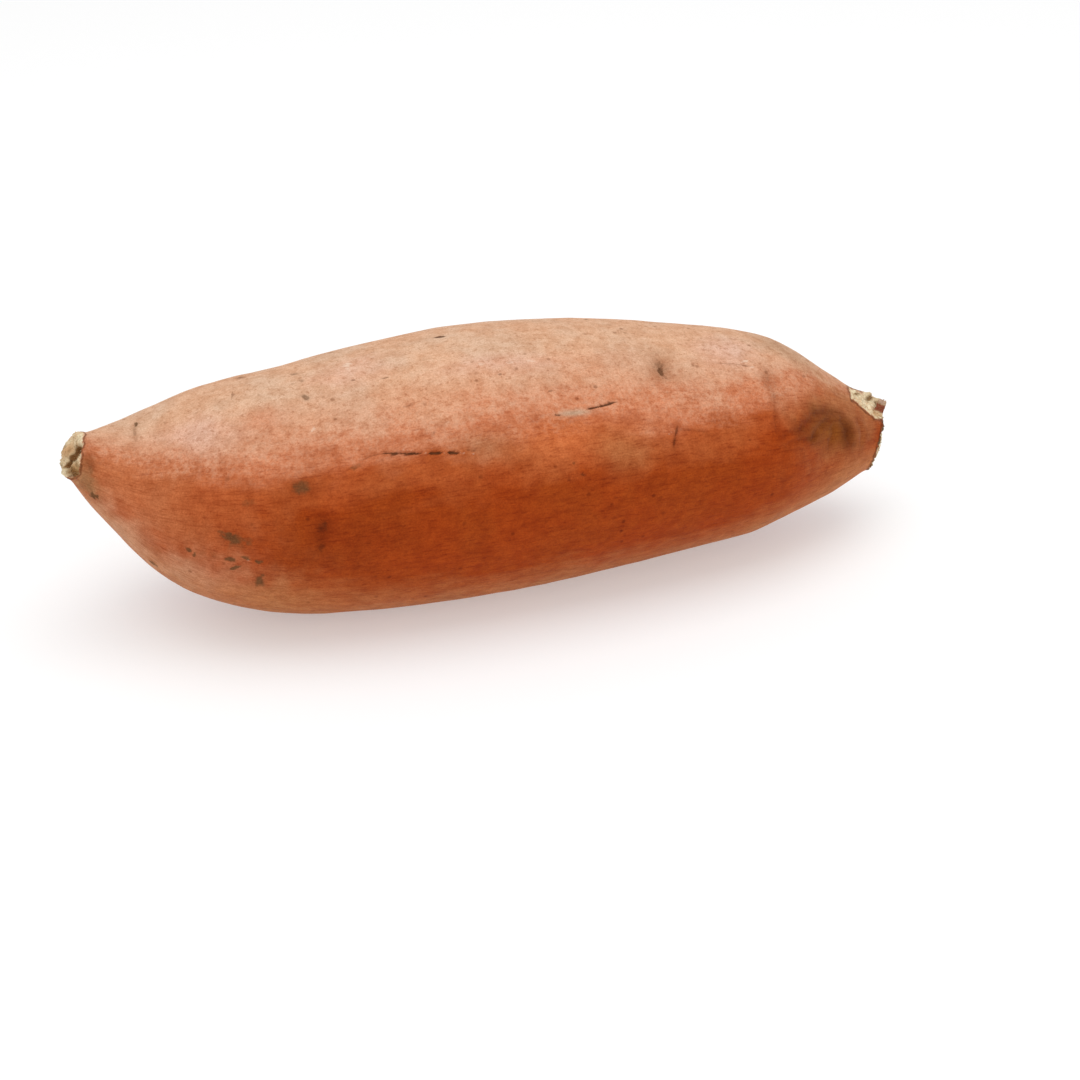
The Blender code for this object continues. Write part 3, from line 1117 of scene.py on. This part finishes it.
TEARS = (
    Tear((-0.832, -0.184, 0.523), 110.45 * MM, (-110 * MM, -92 * MM), ((Seen(78.5, 470), Seen(83, 431)),)),
    Tear((0.9015, -0.3587, -0.2423), 85.35 * MM, (92 * MM, 110 * MM), dry_rim_and_shade=0.95 * MM),
    Tear(
        (0.6593, -0.2497, 0.7092),
        87.85 * MM,
        (89 * MM, 110 * MM),
        (
            (Seen(850.0, 388.5), Seen(852.9, 397.8)),
            (Seen(852.9, 397.8), Seen(875.0, 417.3)),
            (Seen(872.0, 417.0), Seen(884.0, 418.5)),
        ),
    ),
)


@dataclass(frozen=True)
class Blot:
    """A soft patch on a broken end, by where it shows."""

    place: Seen
    length: float  # half, in pixels
    breadth: float  # half, in pixels
    lean: float = 0.0
    strength: float = 1.0


DECAY = (
    Blot(Seen(77, 450), 5.5, 6.5, 0, 1.15),
    Blot(Seen(73, 457), 6.5, 4.5, 55, 1.15),
    Blot(Seen(68, 464), 6, 3.6, 50, 1.15),
    Blot(Seen(77, 464), 4, 3, -70, 0.7),
    Blot(Seen(60, 466), 6, 2.0, 60, 0.55),
    Blot(Seen(63, 450), 9, 2.0, 55, 0.62),
    Blot(Seen(73, 437), 3, 2.0, 0, 0.35),
    Blot(Seen(74, 473), 10, 7, -40, 0.92),
    Blot(Seen(871, 397), 4.5, 3.0, 0, 0.85),
    Blot(Seen(857, 394), 5, 1.6, 0, 0.75),
    Blot(Seen(876, 403), 2.5, 4, 0, 0.85),
)
WARM = (
    Blot(Seen(68, 451), 9, 4.0, 62, 0.85),
    Blot(Seen(75, 470), 9, 7, -45, 1.0),
    Blot(Seen(876, 413), 4, 4, 0, 0.8),
    Blot(Seen(858, 400), 4, 3, 0, 0.35),
)
# Flesh that is broken away, and below 0 flesh that stands out
DENTS = (
    Blot(Seen(76, 450), 5, 5, 60, 1.0),
    Blot(Seen(68, 464), 4, 3, 50, 0.9),
    Blot(Seen(70, 477), 3.5, 2.5, 0, 1.3),
    Blot(Seen(79, 437), 4, 5, 0, -0.7),
    Blot(Seen(64, 453), 5, 3, 60, -0.5),
    Blot(Seen(75, 470), 3, 3, 0, -0.6),
    Blot(Seen(870, 400), 5, 3, 0, 0.8),
    Blot(Seen(871, 393), 4, 2.5, 0, -1.0),
)


@dataclass
class Dressing:
    """The skin's points while its marks are laid on."""

    x: np.ndarray  # along the root
    angle: np.ndarray  # round it
    ragged: np.ndarray  # noise that breaks edges
    height: np.ndarray  # how far each point stands out
    masks: dict[str, np.ndarray] = field(init=False)

    def __post_init__(self) -> None:
        """Starts with empty masks."""
        self.masks = {name: np.zeros(len(self.x)) for name in ("pit", "soil", "scurf", "halo")}

    def stain(self, name: str, values: np.ndarray) -> None:
        """Raises a mask to at least some values."""
        self.masks[name] = np.maximum(self.masks[name], values)

    def fill(self, form: Mark | Groove, inside: np.ndarray) -> None:
        """Raises the masks that a mark or groove has.

        Args:
            form: The mark or groove.
            inside: How far each point lies inside it, from 0 to 1.
        """
        for name in ("pit", "soil", "scurf"):
            strength = getattr(form, name)
            if strength:
                self.stain(name, inside * strength)


@dataclass
class Skin:
    """The whole skin, with its relief, its marks and its washes of colour."""

    placer: Placer
    measure: RootMeasure
    finish: SkinFinish = field(default_factory=SkinFinish)
    whole_end: float = 14 * MM  # how much of each end keeps all its triangles
    share_kept: float = 0.63  # of the root's triangles
    border: DustBorder = field(default_factory=DustBorder)
    hidden: HiddenMarks = field(default_factory=HiddenMarks)
    weld: float = 0.01 * MM
    flat_limit: float = 40.0  # degrees between two triangles that make a quad
    square_limit: float = 50.0  # degrees that a quad's corners may be off
    crease: float = 0.9
    smoothing: int = 2
    fine_marks: tuple[float, float] = (1.3 * MM, 0.6 * MM)
    refine_reach: float = 0.8 * MM
    body_radius: float = 33 * MM
    sharp: float = 32.0  # degrees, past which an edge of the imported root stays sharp
    end_reach: float = 3.5 * MM  # how far round the torn faces the mesh is made fine
    end_face: float = 0.07 * MM**2  # how large a face may be there
    end_rounds: int = 6
    torn_lumps: float = 0.50 * MM
    torn_fibres: float = 0.30 * MM
    dent_depth: float = 0.8 * MM
    lip_place: float = 0.55 * MM  # how far from the torn edge the skin curls up
    lip_breadth: float = 0.30 * MM
    lip_height: float = 0.10 * MM
    lip_dark: float = 0.72
    rim_gap: float = 0.30 * MM  # how far below a torn face the sure skin begins
    swell: float = 0.15 * MM  # heights of the skin's own unevenness
    lumps: float = 0.09 * MM
    ridges: float = 0.045 * MM

    def all_marks(self) -> list[Mark]:
        """Every small mark."""
        return [*SWELLS, *EYES, *LENTICELS, *SCURF, *SOIL, RUBBED, *self.hidden.marks()]

    def all_grooves(self) -> list[Groove]:
        """Every crack, crease and scratch."""
        return [*CRACKS, *CREASES, *self.hidden.grooves()]

    def copy_of_root(self) -> bpy.types.Object:
        """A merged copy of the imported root, in quads.

        Returns:
            The copy.
        """
        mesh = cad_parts["sweet_potato"].data.copy()
        mesh.name = "skin"
        mesh.materials.clear()
        piece = bpy.data.objects.new("skin", mesh)
        bpy.context.scene.collection.objects.link(piece)
        only(piece)
        bpy.ops.object.mode_set(mode="EDIT")
        bpy.ops.mesh.select_mode(type="FACE")
        bpy.ops.mesh.select_all(action="SELECT")
        bpy.ops.mesh.remove_doubles(threshold=self.weld)
        bpy.ops.mesh.tris_convert_to_quads(
            face_threshold=math.radians(self.flat_limit), shape_threshold=math.radians(self.square_limit)
        )
        bpy.ops.mesh.select_mode(type="EDGE")
        bpy.ops.mesh.select_all(action="DESELECT")
        bpy.ops.mesh.edges_select_sharp(sharpness=math.radians(self.sharp))
        bpy.ops.transform.edge_crease(value=self.crease)
        bpy.ops.object.mode_set(mode="OBJECT")
        for layer in list(mesh.uv_layers):
            mesh.uv_layers.remove(layer)
        return piece

    def thin_out(self, piece: bpy.types.Object) -> None:
        """Takes some triangles out between the ends, so that the finished skin stays light.

        Args:
            piece: The merged copy of the root.
        """
        x = coordinates(piece.data)[:, 0]
        body = (x > self.measure.tail + self.whole_end) & (x < self.measure.stem - self.whole_end)
        group = piece.vertex_groups.new(name="body")
        group.add(np.flatnonzero(body).tolist(), 1.0, "REPLACE")
        only(piece)
        thin = piece.modifiers.new("Thin", "DECIMATE")
        thin.ratio = self.share_kept
        thin.vertex_group = group.name
        bpy.ops.object.modifier_apply(modifier=thin.name)
        piece.vertex_groups.clear()

    def subdivided(self, piece: bpy.types.Object, levels: int) -> None:
        """Smooths a piece with an applied Subdivision Surface.

        Args:
            piece: The piece.
            levels: How many times it divides each face.
        """
        only(piece)
        smooth = piece.modifiers.new("Smooth", "SUBSURF")
        smooth.levels = levels
        smooth.render_levels = levels
        bpy.ops.object.modifier_apply(modifier=smooth.name)

    def mark_share(self, mark: Mark, x: np.ndarray, angle: np.ndarray) -> np.ndarray:
        """How far each point is from a mark's middle, where 1 is its edge."""
        sheet = self.placer.sheet(mark.place, mark.lean)
        along, across = sheet.local(x, angle)
        return np.hypot(along / mark.length, across / mark.breadth)

    def groove_share(self, groove: Groove, x: np.ndarray, angle: np.ndarray) -> tuple[np.ndarray, np.ndarray]:
        """How far each point is from a groove.

        Args:
            groove: The groove.
            x: Each point's place along the root.
            angle: Each point's angle round it.

        Returns:
            The distance, where 1 is the groove's edge, and how far along the groove it is, from 0 to 1.
        """
        stops = []
        for place in groove.path:
            sheet = self.placer.sheet(place)
            stops.append((sheet.x, sheet.angle))
        start = stops[0]
        radius = float(self.measure.radius(start[0]))
        points = np.stack([x - start[0], wrapped(angle - start[1]) * radius], axis=1)
        corners = np.array([(stop[0] - start[0], wrapped(stop[1] - start[1]) * radius) for stop in stops])
        nearest = np.full(len(x), np.inf)
        share = np.zeros(len(x))
        for k, (first, second) in enumerate(zip(corners, corners[1:])):
            way = second - first
            part = np.clip(((points - first) @ way) / (way @ way), 0, 1)
            distance = np.linalg.norm(points - first - part[:, None] * way, axis=1)
            closer = distance < nearest
            nearest = np.where(closer, distance, nearest)
            share = np.where(closer, (k + part) / (len(corners) - 1), share)
        return nearest / groove.breadth, share

    def refine(self, piece: bpy.types.Object, finest: float) -> None:
        """Divides the faces under marks that are as fine as finest, so that they have points to show them.

        Args:
            piece: The skin.
            finest: Only marks and grooves with a half-breadth below this are refined, in metres.
        """
        mesh = piece.data
        points = coordinates(mesh)
        x = points[:, 0]
        angle = self.measure.around(points)
        near = np.zeros(len(points), bool)
        for mark in self.all_marks():
            small = min(mark.length, mark.breadth)
            if small < finest:
                near |= self.mark_share(mark, x, angle) < 1 + self.refine_reach / small
        for groove in self.all_grooves():
            if groove.breadth < finest:
                near |= self.groove_share(groove, x, angle)[0] < 1 + self.refine_reach / groove.breadth
        self.divide(piece, np.array([bool(near[list(face.vertices)].all()) for face in mesh.polygons]))

    def refine_ends(self, piece: bpy.types.Object) -> None:
        """Divides the faces at the torn ends until they are small."""
        mesh = piece.data
        for _ in range(self.end_rounds):
            near = self.over_tear(coordinates(mesh))[0] > -self.end_reach
            chosen = [
                face.area > self.end_face and bool(near[list(face.vertices)].any()) for face in mesh.polygons
            ]
            self.divide(piece, np.array(chosen))

    def divide(self, piece: bpy.types.Object, chosen: np.ndarray) -> None:
        """Divides some faces of a piece once.

        Args:
            piece: The piece.
            chosen: True or False for each face.
        """
        only(piece)
        select_faces(piece, chosen)
        bpy.ops.object.mode_set(mode="EDIT")
        bpy.ops.mesh.select_mode(type="FACE")
        bpy.ops.mesh.subdivide(number_cuts=1, smoothness=0, ngon=False)
        bpy.ops.object.mode_set(mode="OBJECT")

    def over_tear(self, points: np.ndarray) -> tuple[np.ndarray, np.ndarray]:
        """How far each point stands over the nearest torn face, and how wide that face's dark rim is.

        Args:
            points: Rows of 3.

        Returns:
            The height, less than 0 on the skin, and the width, both in metres.
        """
        found = np.full(len(points), -1.0)
        dry_rim_and_shade = np.zeros(len(points))
        for tear in TEARS:
            height = points @ np.array(tear.normal) - tear.offset
            for rim in tear.rims:
                height = np.minimum(height, self.beside(rim, points))
            inside = (points[:, 0] > tear.near[0]) & (points[:, 0] < tear.near[1]) & (height > found)
            found = np.where(inside, height, found)
            dry_rim_and_shade = np.where(inside, tear.dry_rim_and_shade, dry_rim_and_shade)
        return found, dry_rim_and_shade

    def from_skin(self, spots: np.ndarray, skin: np.ndarray) -> np.ndarray:
        """How far each point of the broken ends lies from the nearest skin.

        Args:
            spots: The points.
            skin: True or False for each, where it is skin.

        Returns:
            The distances in metres.
        """
        tree = KDTree(int(skin.sum()))
        for number, spot in enumerate(spots[skin]):
            tree.insert(spot, number)
        tree.balance()
        return np.array([tree.find(spot)[2] for spot in spots])

    def beside(self, rim: tuple[Seen, Seen], points: np.ndarray) -> np.ndarray:
        """How far each point lies to the left of a line in the picture, as the line runs."""
        view = self.placer.view
        first, second = (view.ray((stop.x, stop.y)) for stop in rim)
        return (points - np.array(view.eye())) @ np.array(second.cross(first).normalized())

    def blotted(self, blots: tuple[Blot, ...], points: np.ndarray, outward: np.ndarray) -> np.ndarray:
        """How much of some patches each point has.

        Args:
            blots: The patches.
            points: Rows of 3.
            outward: The direction that each point looks in.

        Returns:
            One value for each point, 0 where there is none.
        """
        pixels = self.placer.view.shown(points)
        facing = self.placer.view.faced(points, outward)
        amount = np.zeros(len(points))
        for blot in blots:
            turn = math.radians(blot.lean)
            off = pixels - (blot.place.x, blot.place.y)
            along = (off[:, 0] * math.cos(turn) - off[:, 1] * math.sin(turn)) / blot.length
            across = (off[:, 0] * math.sin(turn) + off[:, 1] * math.cos(turn)) / blot.breadth
            share = blot.strength * np.exp(-((along**2 + across**2) ** 1.5)) * facing
            amount = np.where(np.abs(share) > np.abs(amount), share, amount)
        return amount

    def tear_open(
        self,
        mesh: bpy.types.Mesh,
        points: np.ndarray,
        outward: np.ndarray,
        height: np.ndarray,
        pit: np.ndarray,
    ) -> np.ndarray:
        """Roughens the torn ends, curls the skin's edge round them and keeps what their finish reads.

        Args:
            mesh: The skin's mesh.
            points: Its points.
            outward: The direction that each point looks in.
            height: How far each point stands out, as skin.
            pit: The mask of dark places, which this changes.

        Returns:
            How far each point stands out.
        """
        height = height.copy()
        proud, width = self.over_tear(points)
        near = proud > -self.end_reach
        proud = proud[near]
        spots = points[near]
        facing = outward[near]
        edge = proud + cloudy(spots, 1.3 * MM, 3, 2.5) * 0.28 * MM
        torn = ramp(edge, -0.32 * MM, -0.10 * MM)
        rough = cloudy(spots, 2.2 * MM, 3, 4.4) * self.torn_lumps - 0.12 * MM
        rough += cloudy(spots * (1 / 5, 1, 1), 0.5 * MM, 2, 9.1) * self.torn_fibres
        rough -= self.blotted(DENTS, spots, facing) * self.dent_depth
        lip = np.exp(-(((edge + self.lip_place) / self.lip_breadth) ** 2))
        height[near] = height[near] * (1 - torn) + rough * torn + self.lip_height * lip
        pit[near] = np.maximum(pit[near] * (1 - torn), self.lip_dark * lip * (1 - torn))
        width = width[near] * (1 + 0.35 * cloudy(spots, 1.6 * MM, 2, 8.3))
        skin = (torn < 0.5) & (proud < -self.rim_gap)
        inward = self.from_skin(spots, skin) - self.rim_gap
        # The dark strip inside a torn face's rim, carried in the decay mask: dried flesh, partly painted shade
        dry_rim_and_shade = (1 - ramp(inward, 0.2 * width, 1.3 * width + 0.01 * MM)) * (width > 0)
        far_side = cloudy(spots, 1.8 * MM, 2, 6.2)
        weathered = (0.05 + 0.50 * ramp(far_side, -0.5, 0.6)) * ~self.placer.view.faced(spots, facing)
        decay = np.maximum(self.blotted(DECAY, spots, facing), weathered)
        warm = np.maximum(self.blotted(WARM, spots, facing), ramp(-far_side, 0.2, 0.7) * 0.5)
        for name, values in (("flesh", torn), ("decay", np.maximum(decay, dry_rim_and_shade * 1.4)), ("warm", warm)):
            whole = np.zeros(len(points))
            whole[near] = values
            store(mesh, name, whole)
        return height

    def relief(self, points: np.ndarray, x: np.ndarray, angle: np.ndarray) -> np.ndarray:
        """The skin's own unevenness: broad swells, lumps, and ridges that run lengthwise.

        Args:
            points: The skin's points.
            x: Each point's place along the root.
            angle: Each point's angle round it.

        Returns:
            How far each point stands out.
        """
        ends = ramp(x, self.measure.tail + 2 * MM, self.measure.tail + 12 * MM)
        ends *= ramp(-x, -self.measure.stem + 2 * MM, -self.measure.stem + 12 * MM)
        swell = cloudy(points, 26 * MM, 2, 3.1) * self.swell
        lumps = cloudy(points, 7.5 * MM, 2, 7.7) * self.lumps
        flow = self.flow(x, angle) * (1 / 14, 1 / 2.1, 1 / 2.1) / MM
        ridges = cloudy(flow, 1.0, 2, 11.3) * self.ridges
        return (swell + lumps) * ends + ridges * (0.4 + 0.6 * ends)

    def flow(self, x: np.ndarray, angle: np.ndarray) -> np.ndarray:
        """The skin laid on an even cylinder, for patterns that run lengthwise without a seam."""
        return np.stack([x, self.body_radius * np.cos(angle), self.body_radius * np.sin(angle)], axis=1)

    def below_border(self, x: np.ndarray, angle: np.ndarray, wander: np.ndarray) -> np.ndarray:
        """How far round each point lies below the border of the dusty upper skin.

        Args:
            x: Each point's place along the root.
            angle: Each point's angle round it.
            wander: Noise that moves the border.

        Returns:
            Degrees, less than 0 on the dusty side.
        """
        stops = [self.placer.flat(pixel) for pixel in self.border.front]
        edge = np.degrees(np.interp(x, [stop[0] for stop in stops], [stop[1] % FULL_TURN for stop in stops]))
        turn = np.degrees(angle % FULL_TURN)
        turn = np.where(turn > self.border.under, turn - 360, turn)
        sway = self.border.sway * np.sin(x / self.border.sway_length + self.border.sway_start)
        back = self.border.back + sway - turn
        end = np.minimum(x - self.measure.tail, self.measure.stem - x)
        soft = self.border.end_softness * np.exp(-np.maximum(end, 0) / self.border.end_reach)
        back -= soft * self.border.soft_span * np.tanh(back / self.border.soft_span)
        return np.maximum(turn - edge, back * self.border.back_pace) + wander * self.border.wander

    def washed(self, x: np.ndarray, angle: np.ndarray, below: np.ndarray, wander: np.ndarray) -> np.ndarray:
        """Each point's colour before its fine pattern.

        Args:
            x: Each point's place along the root.
            angle: Each point's angle round it.
            below: Degrees below the dusty skin's border.
            wander: Noise that breaks the patches' edges.

        Returns:
            Rows of red, green, blue and 1.
        """
        stops = [stop for stop, _ in BANDS]
        tints = np.array([tint.value for _, tint in BANDS])
        colour = np.stack([np.interp(below, stops, tints[:, k]) for k in range(3)], axis=1)
        for wash in WASHES:
            along, across = self.placer.sheet(wash.place, wash.lean).local(x, angle)
            reach = np.hypot(along / wash.length, across / wash.breadth) + wander * wash.broken
            share = (wash.strength * np.exp(-(np.maximum(reach, 0) ** 2.4)))[:, None]
            colour = colour * (1 - share) + np.array(wash.tint.value) * share
        return np.concatenate([colour, np.ones((len(colour), 1))], axis=1)

    def dress(self, piece: bpy.types.Object) -> None:
        """Moves the skin's points for its relief and marks, and keeps the masks that the finish reads.

        Args:
            piece: The skin.
        """
        mesh = piece.data
        points = coordinates(mesh)
        x = points[:, 0]
        angle = self.measure.around(points)
        outward = normals(mesh)
        wander = cloudy(points, 6 * MM, 4, 21.7)
        ragged = cloudy(points, 0.9 * MM, 2, 31.3)
        dressing = Dressing(x, angle, ragged, self.relief(points, x, angle))
        for mark in self.all_marks():
            self.press(mark, dressing)
        for groove in self.all_grooves():
            self.carve(groove, dressing)
        streaky = cloudy(self.flow(x, angle) * (1 / 16, 1 / 3, 1 / 3) / MM, 1.0, 2, 5.1)
        below = self.below_border(x, angle, wander + streaky)
        store(mesh, "wash", self.washed(x, angle, below, wander))
        store(mesh, "dust", 1 - ramp(below, -20, 14))
        store(mesh, "flow", self.flow(x, angle))
        height = self.tear_open(mesh, points, outward, dressing.height, dressing.masks["pit"])
        for name, values in dressing.masks.items():
            store(mesh, name, np.clip(values, 0, 1))
        moved = points + outward * height[:, None]
        moved[:, 2] = np.maximum(moved[:, 2], 0)
        move_to(mesh, moved)

    def press(self, mark: Mark, dressing: Dressing) -> None:
        """Adds a mark to the height and the masks.

        Args:
            mark: The mark.
            dressing: The skin's points, whose height and masks this changes.
        """
        share = self.mark_share(mark, dressing.x, dressing.angle)
        dressing.height -= mark.depth * np.exp(-(share**2) * 1.2)
        dressing.fill(mark, 1 - ramp(share + dressing.ragged * mark.ragged, 0.55, 1.25))
        if mark.halo:
            dressing.stain("halo", mark.halo * np.exp(-((share / 1.9) ** 2)))

    def carve(self, groove: Groove, dressing: Dressing) -> None:
        """Adds a groove to the height and the masks.

        Args:
            groove: The groove.
            dressing: The skin's points, whose height and masks this changes.
        """
        share, along = self.groove_share(groove, dressing.x, dressing.angle)
        taper = 0.35 + 0.65 * ramp(np.sin(math.pi * np.clip(along, 0.001, 0.999)), 0, 0.5)
        broken = share / taper + dressing.ragged * groove.ragged
        depth = groove.depth * taper * (1 - 0.5 * groove.ragged * dressing.ragged)
        dressing.height -= depth * np.exp(-((share / taper) ** 2) * 0.8)
        lip = np.exp(-(((broken - 2.3) / 0.8) ** 2))
        dressing.height += 0.12 * groove.depth * lip
        dressing.fill(groove, 1 - ramp(broken, 0.5, 1.35))
        if groove.rim:
            dressing.stain("scurf", groove.rim * lip)
        if groove.halo:
            dressing.stain("halo", groove.halo * np.exp(-((share / 3.0) ** 2)))

    def build(self) -> bpy.types.Object:
        """Builds the skin.

        Returns:
            The skin.
        """
        piece = self.copy_of_root()
        self.thin_out(piece)
        self.subdivided(piece, self.smoothing)
        for finest in self.fine_marks:
            self.refine(piece, finest)
        self.refine_ends(piece)
        self.dress(piece)
        piece.data.materials.append(self.finish.material())
        only(piece)
        bpy.ops.object.shade_smooth()
        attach(piece, "root")
        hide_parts("sweet_potato")
        report(piece)
        return piece


def report(piece: bpy.types.Object) -> None:
    """Logs a finished piece's name and how many faces it has."""
    LOG.info("%s: %d faces", piece.name, len(piece.data.polygons))


# The stub


@dataclass
class Knob:
    """A small dried stub that grows out of a corner of the stem end's tear."""

    placer: Placer
    name: str = "stem_knob"
    foot: Seen = Seen(877.5, 413.0)
    tip: Seen = Seen(882.0, 403.6)
    sunk: float = 1.0 * MM
    cap: float = 0.9 * MM  # past the tip
    radius: float = 1.10 * MM
    boxiness: float = 3.2  # 2 is a ball
    flare: float = 0.45  # how much broader its foot is
    waist: float = 0.10
    seed: float = 3.0
    finish: FleshFinish = field(
        default_factory=lambda: FleshFinish(
            cream=(0.450, 0.290, 0.220),
            orange=(0.740, 0.520, 0.300),
            brown=(0.215, 0.036, 0.010),
            fibre=(0.300, 0.110, 0.055),
            roughness=0.7,
        )
    )

    def shaped(self, ways: np.ndarray) -> np.ndarray:
        """Shapes a ball into the stub.

        Args:
            ways: The ball's points, as directions of length 1.

        Returns:
            The stub's points.
        """
        view = self.placer.view
        foot = self.placer.point(self.foot)
        ray = view.ray((self.tip.x, self.tip.y))
        tip = view.eye() + ray * (foot - view.eye()).dot(ray)
        long = (tip - foot).length
        axis = (tip - foot).normalized()
        side = axis.cross(ray).normalized()
        turned = np.array([side, axis.cross(side), axis])
        boxy = ways / (np.abs(ways) ** self.boxiness).sum(axis=1)[:, None] ** (1 / self.boxiness)
        flare = 1 + self.flare * ramp(-ways[:, 2], 0.0, 0.9) - self.waist * np.exp(-((ways[:, 2] / 0.3) ** 2))
        lumps = 0.24 * cloudy(ways, 0.8, 4, self.seed)
        bark = 0.09 * cloudy(ways * (1, 1, 0.3), 0.16, 2, self.seed)
        rough = 1 + lumps + bark
        broad = self.radius * flare * rough
        height = (boxy[:, 2] * rough + 1) / 2 * (long + self.sunk + self.cap) - self.sunk
        local = np.stack([boxy[:, 0] * broad, boxy[:, 1] * broad, height], axis=1)
        return local @ turned + np.array(foot)

    def build(self) -> bpy.types.Object:
        """Builds the stub.

        Returns:
            The piece.
        """
        bpy.ops.object.select_all(action="DESELECT")
        bpy.ops.mesh.primitive_ico_sphere_add(subdivisions=5, radius=1.0)
        piece = bpy.context.object
        piece.name = self.name
        piece.data.name = self.name
        mesh = piece.data
        ways = coordinates(mesh)
        move_to(mesh, self.shaped(ways))
        pale = ramp(-ways[:, 2], 0.15, 0.55)
        store(mesh, "warm", pale)
        store(mesh, "decay", ramp(-ways[:, 2], -0.75, -0.25) * (1 - pale))
        for layer in list(mesh.uv_layers):
            mesh.uv_layers.remove(layer)
        mesh.materials.append(self.finish.material("knob_bark"))
        only(piece)
        bpy.ops.object.shade_smooth()
        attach(piece, "root")
        report(piece)
        return piece


# The studio


@dataclass(frozen=True)
class Lamp:
    """A soft rectangular lamp."""

    name: str
    place: tuple[float, float, float]
    aim: tuple[float, float, float]
    size: tuple[float, float]
    power: float  # watts

    def hang(self) -> None:
        """Hangs the lamp."""
        light = bpy.data.lights.new(self.name, "AREA")
        light.shape = "RECTANGLE"
        light.size, light.size_y = self.size
        light.energy = self.power
        lamp = bpy.data.objects.new(self.name, light)
        lamp.location = self.place
        lamp.rotation_euler = (Vector(self.aim) - Vector(self.place)).to_track_quat("-Z", "Y").to_euler()
        bpy.context.scene.collection.objects.link(lamp)


@dataclass
class Studio:
    """A pale floor, soft light from above and the fitted camera."""

    view: Viewpoint = field(default_factory=Viewpoint)
    floor_size: float = 6.0
    floor_colour: Colour = (0.68, 0.68, 0.68)
    sky: float = 0.72
    glow: float = 0.34  # the floor is a softly lit table
    lamps: tuple[Lamp, ...] = (
        Lamp("overhead", (0.02, -0.10, 0.95), (0, 0, 0), (1.2, 0.8), 4.0),
        Lamp("front", (-0.25, -1.1, 0.75), (0, 0, 0.02), (1.2, 0.8), 1.6),
    )

    def floor(self) -> None:
        """Lays the floor."""
        bpy.ops.object.select_all(action="DESELECT")
        bpy.ops.mesh.primitive_plane_add(size=self.floor_size)
        plane = bpy.context.object
        plane.name = "floor"
        recipe = Recipe("floor")
        clean = recipe.noise(recipe.place(), 4, 2)
        light = tuple(min(value * 1.01, 1.0) for value in self.floor_colour)
        colour = recipe.mixed(clean, self.floor_colour, light)
        plane.data.materials.append(
            recipe.surface(
                Base_Color=colour, Roughness=0.75, Specular_IOR_Level=0.1, Emission_Color=(1, 1, 1, 1),
                Emission_Strength=self.glow,
            )
        )

    def world(self) -> None:
        """Makes the surroundings an even white."""
        world = bpy.data.worlds.new("studio")
        world.use_nodes = True
        background = world.node_tree.nodes["Background"]
        background.inputs["Color"].default_value = (1.0, 1.0, 1.0, 1.0)
        background.inputs["Strength"].default_value = self.sky
        bpy.context.scene.world = world

    def camera(self) -> None:
        """Sets up the camera at the photograph's viewing angle."""
        data = bpy.data.cameras.new("camera")
        data.lens = self.view.lens
        data.sensor_width = self.view.sensor
        data.sensor_height = self.view.sensor
        data.sensor_fit = "HORIZONTAL"
        data.clip_start = 0.01
        camera = bpy.data.objects.new("camera", data)
        back, right, up = self.view.axes()
        turned = Matrix((right, up, back)).transposed().to_4x4()
        camera.matrix_world = Matrix.Translation(self.view.eye()) @ turned
        bpy.context.scene.collection.objects.link(camera)
        bpy.context.scene.camera = camera

    def build(self) -> None:
        """Sets everything up."""
        self.floor()
        self.world()
        for lamp in self.lamps:
            lamp.hang()
        self.camera()
        settings = bpy.context.scene.view_settings
        settings.view_transform = "Standard"
        settings.look = "None"


def main() -> None:
    """Builds the pieces and the studio."""
    logging.basicConfig(level=logging.INFO, format="%(message)s")
    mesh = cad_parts["sweet_potato"].data
    view = Viewpoint()
    measure = RootMeasure(mesh)
    placer = Placer(view, mesh, measure)
    Skin(placer, measure).build()
    Knob(placer).build()
    Studio(view).build()


if __name__ == "__main__":
    main()
